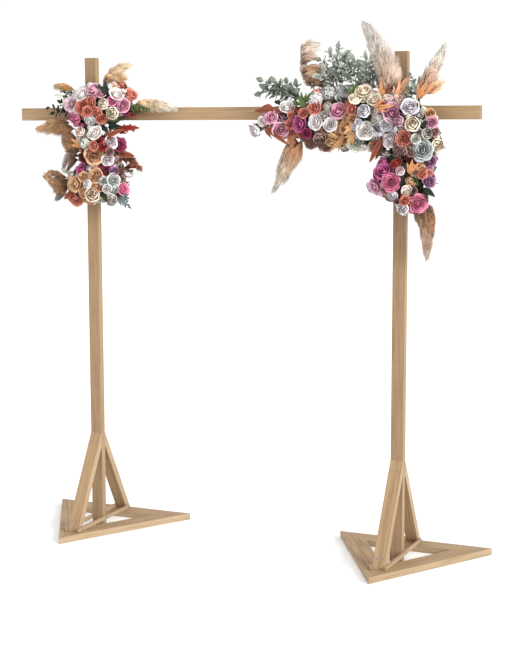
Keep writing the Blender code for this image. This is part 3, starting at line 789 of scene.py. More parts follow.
def pine(name, direction, tone, side, side_painted_light, seed):
    """Planed pine with its grain along a direction: growth rings on its ends, and painted light that makes
    the narrow sides paler and yellower.
    """
    rng = random.Random(seed)
    paint = Paint(name)
    turn = Vector(direction).rotation_difference(Vector((1, 0, 0))).to_euler()
    shift = [rng.uniform(-4, 4) for _ in range(3)]
    local = paint.mapped(paint.coordinates(), Rotation=turn, Location=shift)

    def grain(stretch, scale, detail):
        return paint.speckle(paint.mapped(local, Scale=stretch), Scale=scale, Detail=detail)

    board = grain((0.35, 3, 3), 3.0, 2.0)
    streak = grain((0.5, 12, 12), 9.0, 4.0)
    fibre = grain((6, 160, 160), 5.0, 2.0)
    waver = grain((0.8, 5, 5), 4.0, 2.0)

    parts = paint.node("SeparateXYZ", {"Vector": local})
    y = paint.math("PINGPONG", parts["Y"], 0.21)
    z = paint.math("PINGPONG", parts["Z"], 0.17)
    radius = paint.math("SQRT", paint.add(paint.math("POWER", y, 2.0), paint.math("POWER", z, 2.0)))
    rings = paint.math("FRACT", paint.add(paint.times(radius, RINGS_PER_METRE), paint.times(waver, 5.0)))
    rings = paint.math("POWER", rings, 3.0)

    colour = paint.ramp(streak, (0.3, PINE_DARK), (0.5, PINE_MID), (0.7, PINE_LIGHT))
    colour = paint.mix(paint.times(rings, 0.42), colour, PINE_DARK)
    colour = paint.mix(paint.ramp(board, (0.35, 0), (0.7, 0.5)), colour, PINE_LIGHT)
    colour = paint.mix(0.6, colour, paint.ramp(fibre, (0.3, 0.8), (0.65, 1.06)), "MULTIPLY")
    colour = paint.mix(paint.times(paint.facing(direction, 0.55, 0.8), 0.55), colour, PINE_END)
    # Painted light: the narrow sides are made paler and yellower, like sunlit faces
    colour = paint.mix(paint.facing(side, 0.6, 0.9), colour, side_painted_light, "MULTIPLY")
    return paint.finish({
        "Base Color": paint.mix(1.0, colour, (tone, tone, tone), "MULTIPLY"),
        "Roughness": paint.ramp(streak, (0.3, 0.7), (0.7, 0.5)),
        "Specular IOR Level": 0.35,
        "Normal": paint.bump(paint.add(fibre, paint.times(rings, 0.6)), 0.25, 0.0006),
    })


def silk(name, weave, sheen, rough, depth, veined):
    """Woven fabric petals or leaves: each point's tint, streaked along the blade and, on leaves, veined."""
    paint = Paint(name)
    place_on = paint.coordinates()
    blade = paint.node("Attribute", {}, attribute_name="blade")["Vector"]
    colour = paint.node("Attribute", {}, attribute_name="tint")["Color"]
    mottle = paint.speckle(place_on, Scale=60.0, Detail=3.0)
    colour = paint.mix(1.0, colour, paint.ramp(mottle, (0.3, 0.84), (0.7, 1.06)), "MULTIPLY")
    streaks = paint.speckle(paint.mapped(blade, Scale=(7, 1.1, 40)), Scale=1.6, Detail=3.0)
    colour = paint.mix(1.0, colour, paint.ramp(streaks, (0.35, 0.88), (0.65, 1.06)), "MULTIPLY")
    height = paint.add(paint.speckle(place_on, Scale=weave, Detail=2.0), streaks)
    if veined:
        parts = paint.node("SeparateXYZ", {"Vector": blade})
        beside = paint.math("ABSOLUTE", parts["X"])
        slant = paint.math("SUBTRACT", paint.times(parts["Y"], 8.0), beside)
        side_vein = paint.ramp(paint.math("PINGPONG", slant, 0.5), (0.0, 1), (0.16, 0))
        midrib = paint.ramp(beside, (0.03, 1), (0.12, 0))
        veins = paint.math("MAXIMUM", paint.times(side_vein, 0.5), midrib)
        colour = paint.mix(paint.times(veins, 0.35), colour, (1.5, 1.5, 1.4), "MULTIPLY")
        height = paint.math("SUBTRACT", height, paint.times(veins, 1.5))
    return paint.finish({
        "Base Color": colour,
        "Normal": paint.bump(height, 0.3, depth),
        "Roughness": rough,
        "Sheen Weight": sheen,
        "Specular IOR Level": 0.25,
    })


def moss():
    """The dark mossy form that the stems are pushed into."""
    paint = Paint("moss")
    clumps = paint.speckle(paint.coordinates(), Scale=45.0, Detail=6.0, Roughness=0.7)
    shades = (0.3, linear(34, 30, 22)), (0.55, linear(64, 62, 38)), (0.75, linear(98, 92, 60))
    return paint.finish({
        "Base Color": paint.ramp(clumps, *shades),
        "Normal": paint.bump(clumps, 0.8, 0.004),
        "Roughness": 0.95,
    })


def zinc():
    """Galvanised steel with a fine spangle."""
    paint = Paint("zinc_steel")
    spangle = paint.node("TexVoronoi", {"Vector": paint.coordinates(), "Scale": 400.0})["Distance"]
    return paint.finish({
        "Base Color": paint.ramp(spangle, (0.0, (0.2, 0.2, 0.21)), (1.0, 0.34)),
        "Metallic": 1,
        "Roughness": paint.ramp(spangle, (0.0, 0.3), (1.0, 0.5)),
    })


# Camera, floor and light


def photo_axes():
    """The camera's right, up and forward directions."""
    cos_yaw, sin_yaw = math.cos(CAMERA_YAW), math.sin(CAMERA_YAW)
    cos_pitch = math.cos(CAMERA_PITCH)
    right = Vector((cos_yaw, sin_yaw, 0))
    forward = Vector((-sin_yaw * cos_pitch, cos_yaw * cos_pitch, math.sin(CAMERA_PITCH)))
    up = right.cross(forward)
    cos_roll, sin_roll = math.cos(CAMERA_ROLL), math.sin(CAMERA_ROLL)
    return right * cos_roll + up * sin_roll, up * cos_roll - right * sin_roll, forward


RIGHT, UP, FORWARD = photo_axes()


def sight(column, row):
    """The direction from the camera through a pixel of the photograph."""
    across = (column - PHOTO_WIDTH / 2) / FOCAL_PIXELS
    above = (PHOTO_HEIGHT / 2 - row) / FOCAL_PIXELS
    return (FORWARD + RIGHT * across + UP * above).normalized()


def at_depth(column, row, y):
    """The point seen at a pixel, at a place y along the scene's Y axis."""
    ray = sight(column, row)
    return CAMERA_PLACE + ray * ((y - CAMERA_PLACE.y) / ray.y)


def seen_pixel(point):
    """The pixel of the photograph at which a point stands, and how far off it is."""
    away = point - CAMERA_PLACE
    far = away.dot(FORWARD)
    across, above = away.dot(RIGHT) / far, away.dot(UP) / far
    return PHOTO_WIDTH / 2 + FOCAL_PIXELS * across, PHOTO_HEIGHT / 2 - FOCAL_PIXELS * above, far


def in_metres(pixels, point):
    """The size at a point that spans so many pixels of the photograph."""
    return pixels * (point - CAMERA_PLACE).dot(FORWARD) / FOCAL_PIXELS


def make_camera():
    data = bpy.data.cameras.new("camera")
    data.sensor_width = SENSOR_MM
    data.lens = FOCAL_PIXELS * SENSOR_MM / PHOTO_HEIGHT
    data.clip_end = 100
    camera = add_object("camera", data)
    turn = Matrix((RIGHT, UP, -FORWARD)).transposed()
    camera.matrix_world = Matrix.Translation(CAMERA_PLACE) @ turn.to_4x4()
    bpy.context.scene.camera = camera


def make_floor():
    bpy.ops.mesh.primitive_plane_add(size=FLOOR_SIZE, location=(0, 0, FLOOR_LEVEL))
    floor = bpy.context.object
    floor.name = "floor"
    shades = {"Base Color": (FLOOR_SHADE,) * 3, "Roughness": 0.9, "Specular IOR Level": 0.1}
    floor.data.materials.append(Paint("floor").finish(shades))


def make_light():
    world = bpy.data.worlds.new("studio")
    bpy.context.scene.world = world
    world.use_nodes = True
    background = world.node_tree.nodes["Background"]
    background.inputs["Color"].default_value = (1.0, 1.0, 1.0, 1)
    background.inputs["Strength"].default_value = ROOM_STRENGTH
    data = bpy.data.lights.new("key", "SUN")
    data.energy = SUN_STRENGTH
    data.angle = math.radians(SUN_DEGREES)
    data.color = SUN_COLOUR
    add_object("key", data).rotation_euler = SUN_DIRECTION.to_track_quat("-Z", "Y").to_euler()
    bpy.context.scene.view_settings.view_transform = "Standard"


# Timber, fasteners and ties


def finish_timber():
    lean = math.atan2(BRACE_RUN, BRACE_RISE)
    rise, run = math.cos(lean), math.sin(lean)
    along = {angle: (math.cos(math.radians(angle)), math.sin(math.radians(angle)), 0) for angle in (60, 120)}
    across = {angle: (-y, x, 0) for angle, (x, y, _) in along.items()}
    # Direction of the grain, tone, direction that the narrow sides face, and the painted light on them
    grain = {
        "post": ((0, 0, 1), 0.87, (1, 0, 0), POST_SIDE_PAINTED_LIGHT),
        "back_board": ((1, 0, 0), 1.0, (0, 1, 0), BASE_SIDE_PAINTED_LIGHT),
        "left_board": (along[120], 1.04, across[120], BASE_SIDE_PAINTED_LIGHT),
        "right_board": (along[60], 0.98, across[60], BASE_SIDE_PAINTED_LIGHT),
        "stringer": ((0, 1, 0), 1.0, (1, 0, 0), BASE_SIDE_PAINTED_LIGHT),
        "front_brace": ((0, run, rise), 1.0, (1, 0, 0), BASE_SIDE_PAINTED_LIGHT),
        "back_brace": ((0, -run, rise), 0.96, (1, 0, 0), BASE_SIDE_PAINTED_LIGHT),
        "crossbeam": ((1, 0, 0), 1.06, (0, 0, 1), POST_SIDE_PAINTED_LIGHT),
    }
    timbers = sorted(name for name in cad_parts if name.endswith(tuple(grain)))
    for seed, name in enumerate(timbers):
        facts = next(facts for ending, facts in grain.items() if name.endswith(ending))
        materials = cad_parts[name].data.materials
        materials.clear()
        materials.append(pine(f"pine_{name}", *facts, seed))


def screw_head(radius, dome, proud):
    """A round head with a cross recess, standing on the plane z = 0."""
    rings = [(1.0, 0), (1.0, proud * 0.6), (0.94, proud), (0.8, 1), (0.6, 1), (0.42, 1), (0.22, 1)]
    profile = [(radius * r, h if h < 1 else proud + dome * (1 - r * r)) for r, h in rings]
    points, faces = turned(profile, 24)
    points[-1, 2] = proud + dome
    across = np.minimum(np.abs(points[:, 0]), np.abs(points[:, 1]))
    inside = (across < 0.16 * radius) & (np.hypot(points[:, 0], points[:, 1]) < 0.7 * radius)
    inside &= points[:, 2] > proud * 0.9
    points[inside, 2] -= 0.8 * (proud + dome)
    return points, faces


PAN_HEAD = screw_head(0.0046, 0.0018, 0.0012)
FLUSH_HEAD = screw_head(0.0042, 0.0, 0.0006)
WASHER = turned([(0.0088, 0), (0.009, 0.0003), (0.009, 0.0013), (0.0086, 0.0016)], 28)
NUT = turned([(0.0072, 0.0016), (0.0075, 0.002), (0.0075, 0.0074), (0.0066, 0.008)], 6)
THREAD = [(0.004 - 0.0005 * (k % 2), 0.0076 + 0.0007 * k) for k in range(7)]
BOLT_END = turned([(0.004, 0.0016), *THREAD, (0.003, 0.0128)], 16)


def halfway(box, axis):
    """The middle of a box along an axis."""
    return (box[0][axis] + box[1][axis]) / 2


# How far the bolts stand from the middle of the joint, the screws from the ends of a stringer, on its face
# and on its top, those of a brace from its middle and along it, and those of a mitre from its corner
BOLT_ASIDE, BOLT_ABOVE = 0.012, 0.013
FACE_SCREWS, TOP_SCREWS = (0.032, 0.009), (0.088, 0.04)
BRACE_ASIDE, BRACE_SHARES, BRACE_SKIN = 0.014, (0.1, 0.9), 0.0006
MITRE_INWARD, MITRE_ASIDE = 0.085, 0.024


# Each of these gives the fasteners of one side's post and base: the shape, its place and the way it faces


def beam_bolts(side):
    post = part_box(f"{side}_post")
    for step in (-1, 1):
        x = halfway(post, 0) + BOLT_ASIDE * step
        z = halfway(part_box("crossbeam"), 2) - BOLT_ABOVE * step
        for shape in (WASHER, NUT, BOLT_END):
            yield shape, (x, post[1].y, z), (0, 1, 0)


def stringer_screws(side):
    for hand, sign in (("left", -1), ("right", 1)):
        low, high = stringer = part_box(f"{side}_base_{hand}_stringer")
        for y in (halfway(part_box(f"{side}_post"), 1), low.y + FACE_SCREWS[0], high.y - FACE_SCREWS[1]):
            yield PAN_HEAD, (low.x if sign < 0 else high.x, y, halfway(stringer, 2)), (sign, 0, 0)
        for y in (low.y + TOP_SCREWS[0], high.y - TOP_SCREWS[1]):
            yield PAN_HEAD, (halfway(stringer, 0), y, high.z), (0, 0, 1)


def brace_screws(side):
    lean = math.atan2(BRACE_RISE, BRACE_RUN)
    low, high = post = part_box(f"{side}_post")
    for end, sign, face_y in (("front", -1, low.y), ("back", 1, high.y)):
        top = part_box(f"{side}_{end}_brace")[1].z
        out = (0, sign * math.sin(lean), math.cos(lean))
        for share in BRACE_SHARES:
            y, z = face_y + sign * (BRACE_SKIN + BRACE_RUN * share), top - BRACE_RISE * share
            for step in (-1, 1):
                yield FLUSH_HEAD, Vector((halfway(post, 0) + BRACE_ASIDE * step, y, z)), out


def mitre_screws(side):
    post_x = halfway(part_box(f"{side}_post"), 0)
    left, right, back = (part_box(f"{side}_base_{which}_board") for which in ("left", "right", "back"))
    top, front_y, back_y = left[1].z, left[0].y, back[1].y
    middle = Vector((post_x, back_y - (back_y - front_y) / 3, top))
    for x, y in ((post_x, front_y), (left[0].x, back_y), (right[1].x, back_y)):
        corner = Vector((x, y, top))
        inward = (middle - corner).normalized()
        beside = Vector((-inward.y, inward.x, 0))
        for step in (-1, 1):
            yield FLUSH_HEAD, corner + inward * MITRE_INWARD + beside * MITRE_ASIDE * step, (0, 0, 1)


def make_fasteners(material):
    kinds = {
        "beam_bolts": beam_bolts,
        "stringer_screws": stringer_screws,
        "brace_screws": brace_screws,
        "mitre_screws": mitre_screws,
    }
    for side in ("left", "right"):
        for name, fasteners in kinds.items():
            batch = Batch()
            for (points, faces), at, out in fasteners(side):
                turn = Vector(out).to_track_quat("Z", "Y").to_matrix()
                batch.add(points @ np.array(turn).T + np.array(at), faces, NO_TINT)
            place(batch.build(f"{side}_{name}", material), "zinc_steel")


def make_tie(name, timber, at, material):
    """A loop of wire round a timber and into the moss in front of it, with its ends twisted behind."""
    low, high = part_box(timber)
    lying = high.x - low.x > high.z - low.z
    side_low, side_high = (low.z, high.z) if lying else (low.x, high.x)
    middle_y, middle_side = (low.y + high.y) / 2, (side_low + side_high) / 2
    grow = WIRE_RADIUS * 0.9
    front, back, near, far = low.y - WIRE_REACH, high.y + grow, side_low - grow, side_high + grow

    def point(y, side):
        return Vector((at, y, side) if lying else (side, y, at))

    path = []
    for number, (y, side) in enumerate(((front, near), (back, near), (back, far), (front, far))):
        centre_y = y - math.copysign(WIRE_BEND, y - middle_y)
        centre_side = side - math.copysign(WIRE_BEND, side - middle_side)
        start = math.pi * (1 + 0.5 * number)
        for k in range(BEND_STEPS + 1):
            angle = start + math.pi / 2 * k / BEND_STEPS
            bend = WIRE_BEND * math.cos(angle), WIRE_BEND * math.sin(angle)
            path.append(point(centre_y + bend[0], centre_side + bend[1]))
    batch = Batch()
    batch.add(*hoop(path, Vector((1, 0, 0) if lying else (0, 0, 1)), WIRE_RADIUS, WIRE_SIDES), NO_TINT)
    foot = point(back, middle_side - 0.01)
    side = TWIST_DIRECTION.orthogonal().normalized()
    other = TWIST_DIRECTION.cross(side)
    for start in (0, math.pi):
        ends = []
        for k in range(TWIST_STEPS + 1):
            offset = way(side, other, start + TWIST_TURN * k / TWIST_STEPS) * WIRE_RADIUS
            ends.append(foot + TWIST_DIRECTION * TWIST_LENGTH * k / TWIST_STEPS + offset)
        batch.add(*tube(ends, [grow] * len(ends), WIRE_SIDES), NO_TINT)
    place(batch.build(f"{name}_tie", material), "zinc_steel")


# Flowers


def core_swell(out):
    """How far the moss stands out or sinks in, in a direction of the egg made round."""
    return 1 + 0.05 * noise.noise(out * 4) + 0.05 * noise.noise(out * 13) + 0.02 * noise.noise(out * 40)


class Mass:
    """An egg-shaped body of flowers that lies flat against the timber behind it."""

    def __init__(self, name, swag, x, z, half_x, half_z, carrier, *leaves):
        self.name = name
        self.swag = swag
        self.centre = Vector((x, MASS_Y, z))
        self.half = Vector((half_x, MASS_HALF_DEPTH, half_z))
        self.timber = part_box(carrier)
        self.back = self.timber[0].y
        self.leaves = leaves

    def unit(self, vector):
        return Vector(v / h for v, h in zip(vector, self.half))

    def depth(self, point):
        """1 on the outline of the flowers, less inside it."""
        return self.unit(point - self.centre).length

    def normal(self, point):
        return self.unit(self.unit(point - self.centre)).normalized()

    def core_reach(self, out):
        """From the centre to the surface of the mossy core, in a direction of the egg made round."""
        reach = Vector(o * (h - CORE_INSET) for o, h in zip(out, self.half))
        while reach.length > CORE_LEAST and not shown_within(self.centre + reach, CORE_OUTLINES[self.swag]):
            reach *= CORE_SHRINK
        return reach

    def back_of_core(self, point):
        """The core lies against the timber where that is behind it, and is hollowed for leaves beside it."""
        low, high = self.timber
        beside = max(low.x - point.x, point.x - high.x, low.z - point.z, point.z - high.z, 0)
        return self.back - BACK_HOLLOW * min(beside / BACK_HOLLOW, 1)

    def before_back(self, point):
        """A point of the core, moved in front of its back."""
        point.y = min(point.y, self.back_of_core(point) - BACK_GAP)
        return point

    def core_point(self, point):
        """The point of the mossy core under a point of the outline."""
        return self.before_back(self.centre + self.core_reach(self.unit(point - self.centre).normalized()))

    def core_normal(self, out):
        """The way the surface of the core faces, in a direction of the egg made round."""
        side = out.orthogonal().normalized() * 0.2
        along, across = (
            self.core_reach((out + step).normalized()) - self.core_reach((out - step).normalized())
            for step in (side, out.cross(side))
        )
        normal = along.cross(across).normalized()
        return normal if normal.dot(out) > 0 else -normal

    def holds(self, point):
        """Whether a point lies well inside the mossy core."""
        out = self.unit(point - self.centre).normalized()
        return (point - self.centre).length < self.core_reach(out).length - CORE_INSIDE

    def random_point(self, rng):
        while True:
            out = Vector(rng.gauss(0, 1) for _ in range(3)).normalized()
            point = self.centre + Vector(o * h for o, h in zip(out, self.half))
            if point.y < self.back - BACK_ROOM:
                return point

    def make_core(self, material):
        """The mossy body that the stems are pushed into, flat against the timber."""
        bpy.ops.mesh.primitive_ico_sphere_add(subdivisions=5, radius=1)
        core = bpy.context.object
        core.name = f"{self.name}_core"
        core.data.name = core.name
        for vertex in core.data.vertices:
            out = vertex.co.copy()
            vertex.co = self.centre + self.core_reach(out) * core_swell(out)
            back = self.back_of_core(vertex.co)
            if vertex.co.y > back:
                vertex.co.y = back - (self.back - back) * 0.25 * (1 + noise.noise(out * 17))
        core.data.shade_smooth()
        core.data.materials.append(material)
        place(core, "sage_leaf", f"{self.name}_blooms")


def shrunk(outline, pixels):
    """A map that is true where all within so many pixels is true."""
    inside = outline.copy()
    for k in range(16):
        angle = part_turn(k, 16)
        shift = [round(pixels * f) for f in (math.sin(angle), math.cos(angle))]
        inside &= np.roll(outline, shift, axis=(0, 1))
    return inside


def outline_of(swag):
    """A map of the photograph's frame that is true within the outline of a swag's blooms."""
    down, across = np.mgrid[0:PHOTO_HEIGHT, 0:PHOTO_WIDTH]
    nearest = np.full(down.shape, 1e9)
    for column, row, size, *_ in BLOOMS[swag]:
        nearest = np.minimum(nearest, np.hypot(across - column, down - row) - size)
    return shrunk(nearest < OUTLINE_GROWTH, OUTLINE_GROWTH - 1)


def shown_within(point, outline):
    column, row, _ = seen_pixel(point)
    return bool(outline[int(row), int(column)])


OUTLINES = {swag: outline_of(swag) for swag in BLOOMS}
CORE_OUTLINES = {swag: shrunk(outline, CORE_MARGIN) for swag, outline in OUTLINES.items()}
MASSES = [Mass(*facts) for facts in MASS_TABLE]
TIMBERS = [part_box(name) for name in ("left_post", "right_post", "crossbeam")]


def clear_of_timber(point):
    """Whether a point behind the flowers lies beside every timber."""
    for low, high in TIMBERS:
        beside = max(low.x - point.x, point.x - high.x, low.z - point.z, point.z - high.z)
        if beside < TIMBER_ASIDE and point.y > low.y - TIMBER_BEFORE:
            return False
    return True


def settle(blooms):
    """Moves the smaller of two crowded blooms along the line of sight, so that they don't cut each other."""
    settled = []
    for bloom in sorted(blooms, key=lambda b: -b.radius):
        ray = (bloom.at - CAMERA_PLACE).normalized()
        shift = 0
        for other in settled:
            offset = bloom.at + ray * shift - other.at
            along = offset.dot(ray)
            aside = (offset - ray * along).length
            room = CROWDING * (other.radius + bloom.radius)
            if aside < room:
                reach = math.sqrt(room * room - aside * aside)
                in_front = along < 0 or aside < IN_LINE * other.radius
                if abs(along) < reach:
                    shift += (-reach if in_front else reach) - along
        bloom.at = bloom.at + ray * min(max(shift, -MOST_SHIFT), MOST_SHIFT)
        settled.append(bloom)


class Swag:
    """One swag while its blooms and leaves are gathered, all from one row of random numbers."""

    def __init__(self, name, forms, seed):
        self.name = name
        self.masses = [mass for mass in MASSES if mass.swag == name]
        self.forms = forms
        self.rng = random.Random(seed)
        self.batches = defaultdict(Batch)
        self.blooms = []

    def shows(self, point):
        """Whether a point stands within the swag's outline in the photograph."""
        return shown_within(point, OUTLINES[self.name])

    def others(self, mass):
        return [other for other in self.masses if other is not mass]

    def clear_of_blooms(self, *points):
        """Whether a leaf through these points would poke through none of the blooms."""
        return all((point - b.at).length > LEAF_CLEARANCE * b.radius for point in points for b in self.blooms)

    def seen_at(self, column, row):
        """The mass that a pixel of the photograph looks at, and the point on or just outside it."""
        ray = sight(column, row)
        found = []
        for mass in self.masses:
            origin, step = mass.unit(CAMERA_PLACE - mass.centre), mass.unit(ray)
            a, b, c = step.dot(step), origin.dot(step), origin.dot(origin) - 1
            far = (-b - math.sqrt(max(b * b - a * c, 0))) / a
            miss = max((origin + step * far).length - 1, 0)
            found.append((round(miss, 4), far, mass))
        _, far, mass = min(found, key=lambda facts: facts[:2])
        return mass, CAMERA_PLACE + ray * far

    def add_bloom(self, mass, at, facing, radius, form, tint):
        """Adds one bloom whose rim lies at a point, with the stem that carries it in the core."""
        rng = self.rng
        points, faces, shade, painted_shade, blade = rng.choice(self.forms[form])
        turn = spun_to(facing, rng)
        seat = at - facing * radius * SEAT_DEPTH
        slot, deep, light = TINTS[tint]
        cast = np.array([rng.uniform(0.97, 1.03) for _ in range(3)]) * rng.uniform(0.92, 1.04)
        # Painted shade on the bloom, made softer on pale tints
        painted_shade = painted_shade ** (1 - 0.88 * deep.mean())
        tints = (deep + (light - deep) * shade[:, None]) * painted_shade[:, None] * cast
        points = points * radius * BLOOM_SWELL @ np.array(turn).T + np.array(seat)
        self.batches[mass.name, slot].add(points, faces, np.clip(tints, 0, 0.96), blade)
        foot = mass.core_point(seat)
        foot = foot + (mass.centre - foot).normalized() * 0.006
        cup = seat + facing * radius * CUP_LENGTH
        middle = seat - facing * radius * CUP_LENGTH
        stalk = [cup, middle, seat.lerp(foot, 0.5), foot]
        stem, faces = tube(stalk, [radius * 0.36, radius * 0.26, STALK_RADIUS, STALK_RADIUS], 6)
        self.batches[mass.name, "sage_leaf"].add(stem, faces, STALK_COLOUR)
        self.blooms.append(SimpleNamespace(at=at, radius=radius, tint=tint))

    def add_blooms_seen(self):
        """The blooms that the photograph shows, on the side of each mass that faces the camera."""
        blooms = []
        for column, row, size, *form, tint in BLOOMS[self.name]:
            mass, at = self.seen_at(column, row)
            facing = mass.normal(at) * 0.7 - sight(column, row) * 0.3
            tilt = Vector(self.rng.uniform(-0.28, 0.28) for _ in range(3)) + Vector((0, 0, 0.12))
            blooms.append(SimpleNamespace(
                mass=mass, at=at, facing=(facing + tilt).normalized(), radius=in_metres(size, at),
                form=form[0] if form else "rose", tint=tint,
            ))
        settle(blooms)
        for bloom in blooms:
            self.add_bloom(**vars(bloom))

    def fits(self, point, facing, radius, seen):
        """Whether a further bloom stays within the outline and hides none of the blooms seen there."""
        side = facing.orthogonal().normalized()
        radius *= FILL_GIRTH
        rim = ring(point - facing * radius * FILL_RIM, side, facing.cross(side), radius, 8)
        if not all(self.shows(p) for p in (point + facing * radius * FILL_TOP, *rim)):
            return False
        column, row, far = seen_pixel(point)
        size = radius * FOCAL_PIXELS / far
        for other_column, other_row, other_size, other_far in seen:
            apart = math.hypot(column - other_column, row - other_row)
            if far < other_far + HIDING_DEPTH and apart < HIDING_SEEN * other_size + HIDING_OWN * size:
                return False
        return True

    def fill_blooms(self):
        """Fills what the photograph doesn't show, and its small gaps, with further blooms."""
        rng = self.rng
        seen = []
        for bloom in self.blooms:
            column, row, far = seen_pixel(bloom.at)
            seen.append((column, row, bloom.radius * FOCAL_PIXELS / far, far))
        for (radius, tries), mass in product(FILL_SIZES, self.masses):
            for _ in range(tries):
                surface = mass.random_point(rng)
                facing = mass.normal(surface)
                facing.y = min(facing.y, MOST_TURNED_BACK)
                facing.normalize()
                lowest = mass.core_point(surface) + facing * radius * FILL_LOWEST
                sunk = [surface.lerp(lowest, share) for share in SINK_SHARES]
                at = next((p for p in sunk if self.fits(p, facing, radius, seen)), None)
                if at is None or any(other.depth(at) < BLOOM_OVERLAP for other in self.others(mass)):
                    continue
                if any((at - b.at).length < FILL_SPACING * (radius + b.radius) for b in self.blooms):
                    continue
                nearest = sorted(self.blooms, key=lambda b: (b.at - at).length)[:3]
                tint = rng.choice(nearest).tint
                form = rng.choice(LARGE_FORMS if radius > LARGE_ABOVE else SMALL_FORMS)
                self.add_bloom(mass, at, facing, radius, f"plain_{form}", tint)

    def add_leaf(self, mass, kind, at, direction, facing, **look):
        add_leaf(self.batches[mass.name, LEAVES[kind].slot], kind, at, direction, facing, self.rng, **look)

    def strew_leaves(self, mass):
        """Leaves that come out of the core between the blooms."""
        rng = self.rng
        for _ in range(int(mass.half.x * mass.half.z * STREWN_BY_AREA)):
            point = mass.random_point(rng)
            if any(other.depth(point) < LEAF_OVERLAP for other in self.others(mass)):
                continue
            foot = mass.core_point(point)
            normal = mass.normal(point)
            direction = (normal * STREWN_OUT + any_way_along(normal, rng) * STREWN_ASIDE).normalized()
            kind = rng.choice(mass.leaves)
            scale = rng.uniform(*STREWN_SCALES)
            half, most = (foot + direction * LEAVES[kind].length * scale * part for part in LEAF_PARTS)
            if self.shows(most) and self.clear_of_blooms(half, most):
                self.add_leaf(mass, kind, foot, direction, normal, scale=scale)

    def rim_leaves(self, mass):
        """A fan of leaves round the back of the core, each as long as the outline leaves room for."""
        rng = self.rng
        around = int((mass.half.x + mass.half.z) * RIM_BY_LENGTH)
        for k in range(around):
            angle = part_turn(k + rng.uniform(-0.3, 0.3), around)
            out = Vector((math.cos(angle), 0, math.sin(angle)))
            rim = mass.centre + mass.core_reach(out)
            rim.y = mass.back_of_core(rim) - rng.uniform(*RIM_DEPTHS)
            direction = (out + Vector((rng.uniform(-0.4, 0.4), -0.1, rng.uniform(-0.4, 0.4)))).normalized()
            kind = rng.choice(mass.leaves)
            facing = Vector((0, 1, 0)) + out * 0.3
            for length in RIM_LENGTHS:
                if self.shows(rim + direction * length):
                    size = (length, length * RIM_WIDTH)
                    self.add_leaf(mass, kind, rim - out * RIM_FOOT, direction, facing, size=size)
                    break

    def side_leaves(self, mass):
        """Leaves laid flat round the sides of the core, where the outline has no room for more blooms."""
        rng = self.rng
        for _ in range(int((mass.half.x + mass.half.z) * SIDE_BY_LENGTH)):
            out = mass.unit(mass.random_point(rng) - mass.centre).normalized()
            normal = mass.core_normal(out)
            foot = mass.before_back(mass.centre + mass.core_reach(out) * core_swell(out))
            if abs(normal.y) > SIDE_FACING or any(other.holds(foot) for other in self.others(mass)):
                continue
            along = any_way_along(normal, rng)
            kind = rng.choice(mass.leaves + ("dark", "green"))
            for lift in SIDE_LIFTS:
                direction = (normal * lift + along).normalized()
                most = foot + direction * SIDE_LEAF[0] * LEAF_PARTS[1]
                if self.shows(most) and self.clear_of_blooms(most):
                    self.add_leaf(mass, kind, foot + normal * 0.002, direction, normal, size=SIDE_LEAF)
                    break

    def back_leaves(self, mass):
        """Leaves laid like scales over the back of the core, beside the timber that it lies against."""
        rng = self.rng
        for _ in range(int(mass.half.x * mass.half.z * BACK_BY_AREA)):
            angle, share = rng.uniform(0, 2 * math.pi), math.sqrt(rng.uniform(0, 1))
            out = Vector((math.cos(angle), 0, math.sin(angle)))
            at = mass.centre + mass.core_reach(out) * share * 0.96
            at.y = mass.back_of_core(at) - BACK_GAP
            heading = rng.uniform(-1.0, 1.0) * (0.5 + 2.2 * (1 - share) ** 2)
            direction = Matrix.Rotation(heading, 3, "Y") @ out
            direction = (direction + Vector((0, rng.uniform(*BACK_LIFTS), 0))).normalized()
            length = rng.uniform(*BACK_LENGTHS)
            reached = [at + direction * length * part for part in BACK_PARTS]
            if all(clear_of_timber(p) for p in reached) and self.shows(reached[-1]):
                kind = rng.choice(mass.leaves + ("dark", "green", "sage"))
                facing = Vector((0, 1, 0)) - out * 0.15
                size = (length, length * BACK_WIDTH)
                self.add_leaf(mass, kind, at, direction, facing, size=size, arch_share=BACK_ARCH)

    def add_leaves_seen(self):
        """The leaves seen in the photograph, each with a smaller one or two beside it from the same foot."""
        for kind, column, row, tip_column, tip_row, width in LEAVES_SEEN[self.name]:
            mass, base = self.seen_at(column, row)
            away = sight(column, row)
            foot = mass.core_point(base)
            base = base + away * SEEN_SINK
            run = at_depth(tip_column, tip_row, base.y - SEEN_RISE) - base
            facing = (mass.normal(base) - away * 1.2).normalized()
            width_share, fan = NARROW_FAN if LEAVES[kind].width < NARROW_BELOW else WIDE_FAN
            wide = in_metres(width, base) * width_share
            for turn, share in fan:
                direction = Matrix.Rotation(turn + self.rng.uniform(-0.05, 0.05), 3, away) @ run
                at = base + away * 0.004 * (1 - share)
                size = (direction.length * share, wide * share)
                self.add_leaf(mass, kind, at, direction, facing, size=size, grid_size=SEEN_LEAF)
            stem, faces = tube([base + run * 0.04, base, foot], [0.0008, 0.0012, 0.0014], 5)
            self.batches[mass.name, LEAVES[kind].slot].add(stem, faces, FOOT_COLOUR)

    def dress(self, materials):
        """All blooms and leaves of the swag, a piece for each mass and finish."""
        self.add_blooms_seen()
        self.fill_blooms()
        for mass in self.masses:
            self.strew_leaves(mass)
            self.rim_leaves(mass)
            self.side_leaves(mass)
            self.back_leaves(mass)
            mass.make_core(materials["moss"])
        self.add_leaves_seen()
        for (owner, slot), batch in sorted(self.batches.items()):
            kind = "leaves" if slot.endswith("leaf") else "blooms"
            place(batch.build(f"{owner}_{kind}_{slot}", materials[slot]), slot, f"{owner}_blooms")


# Sprays and plumes


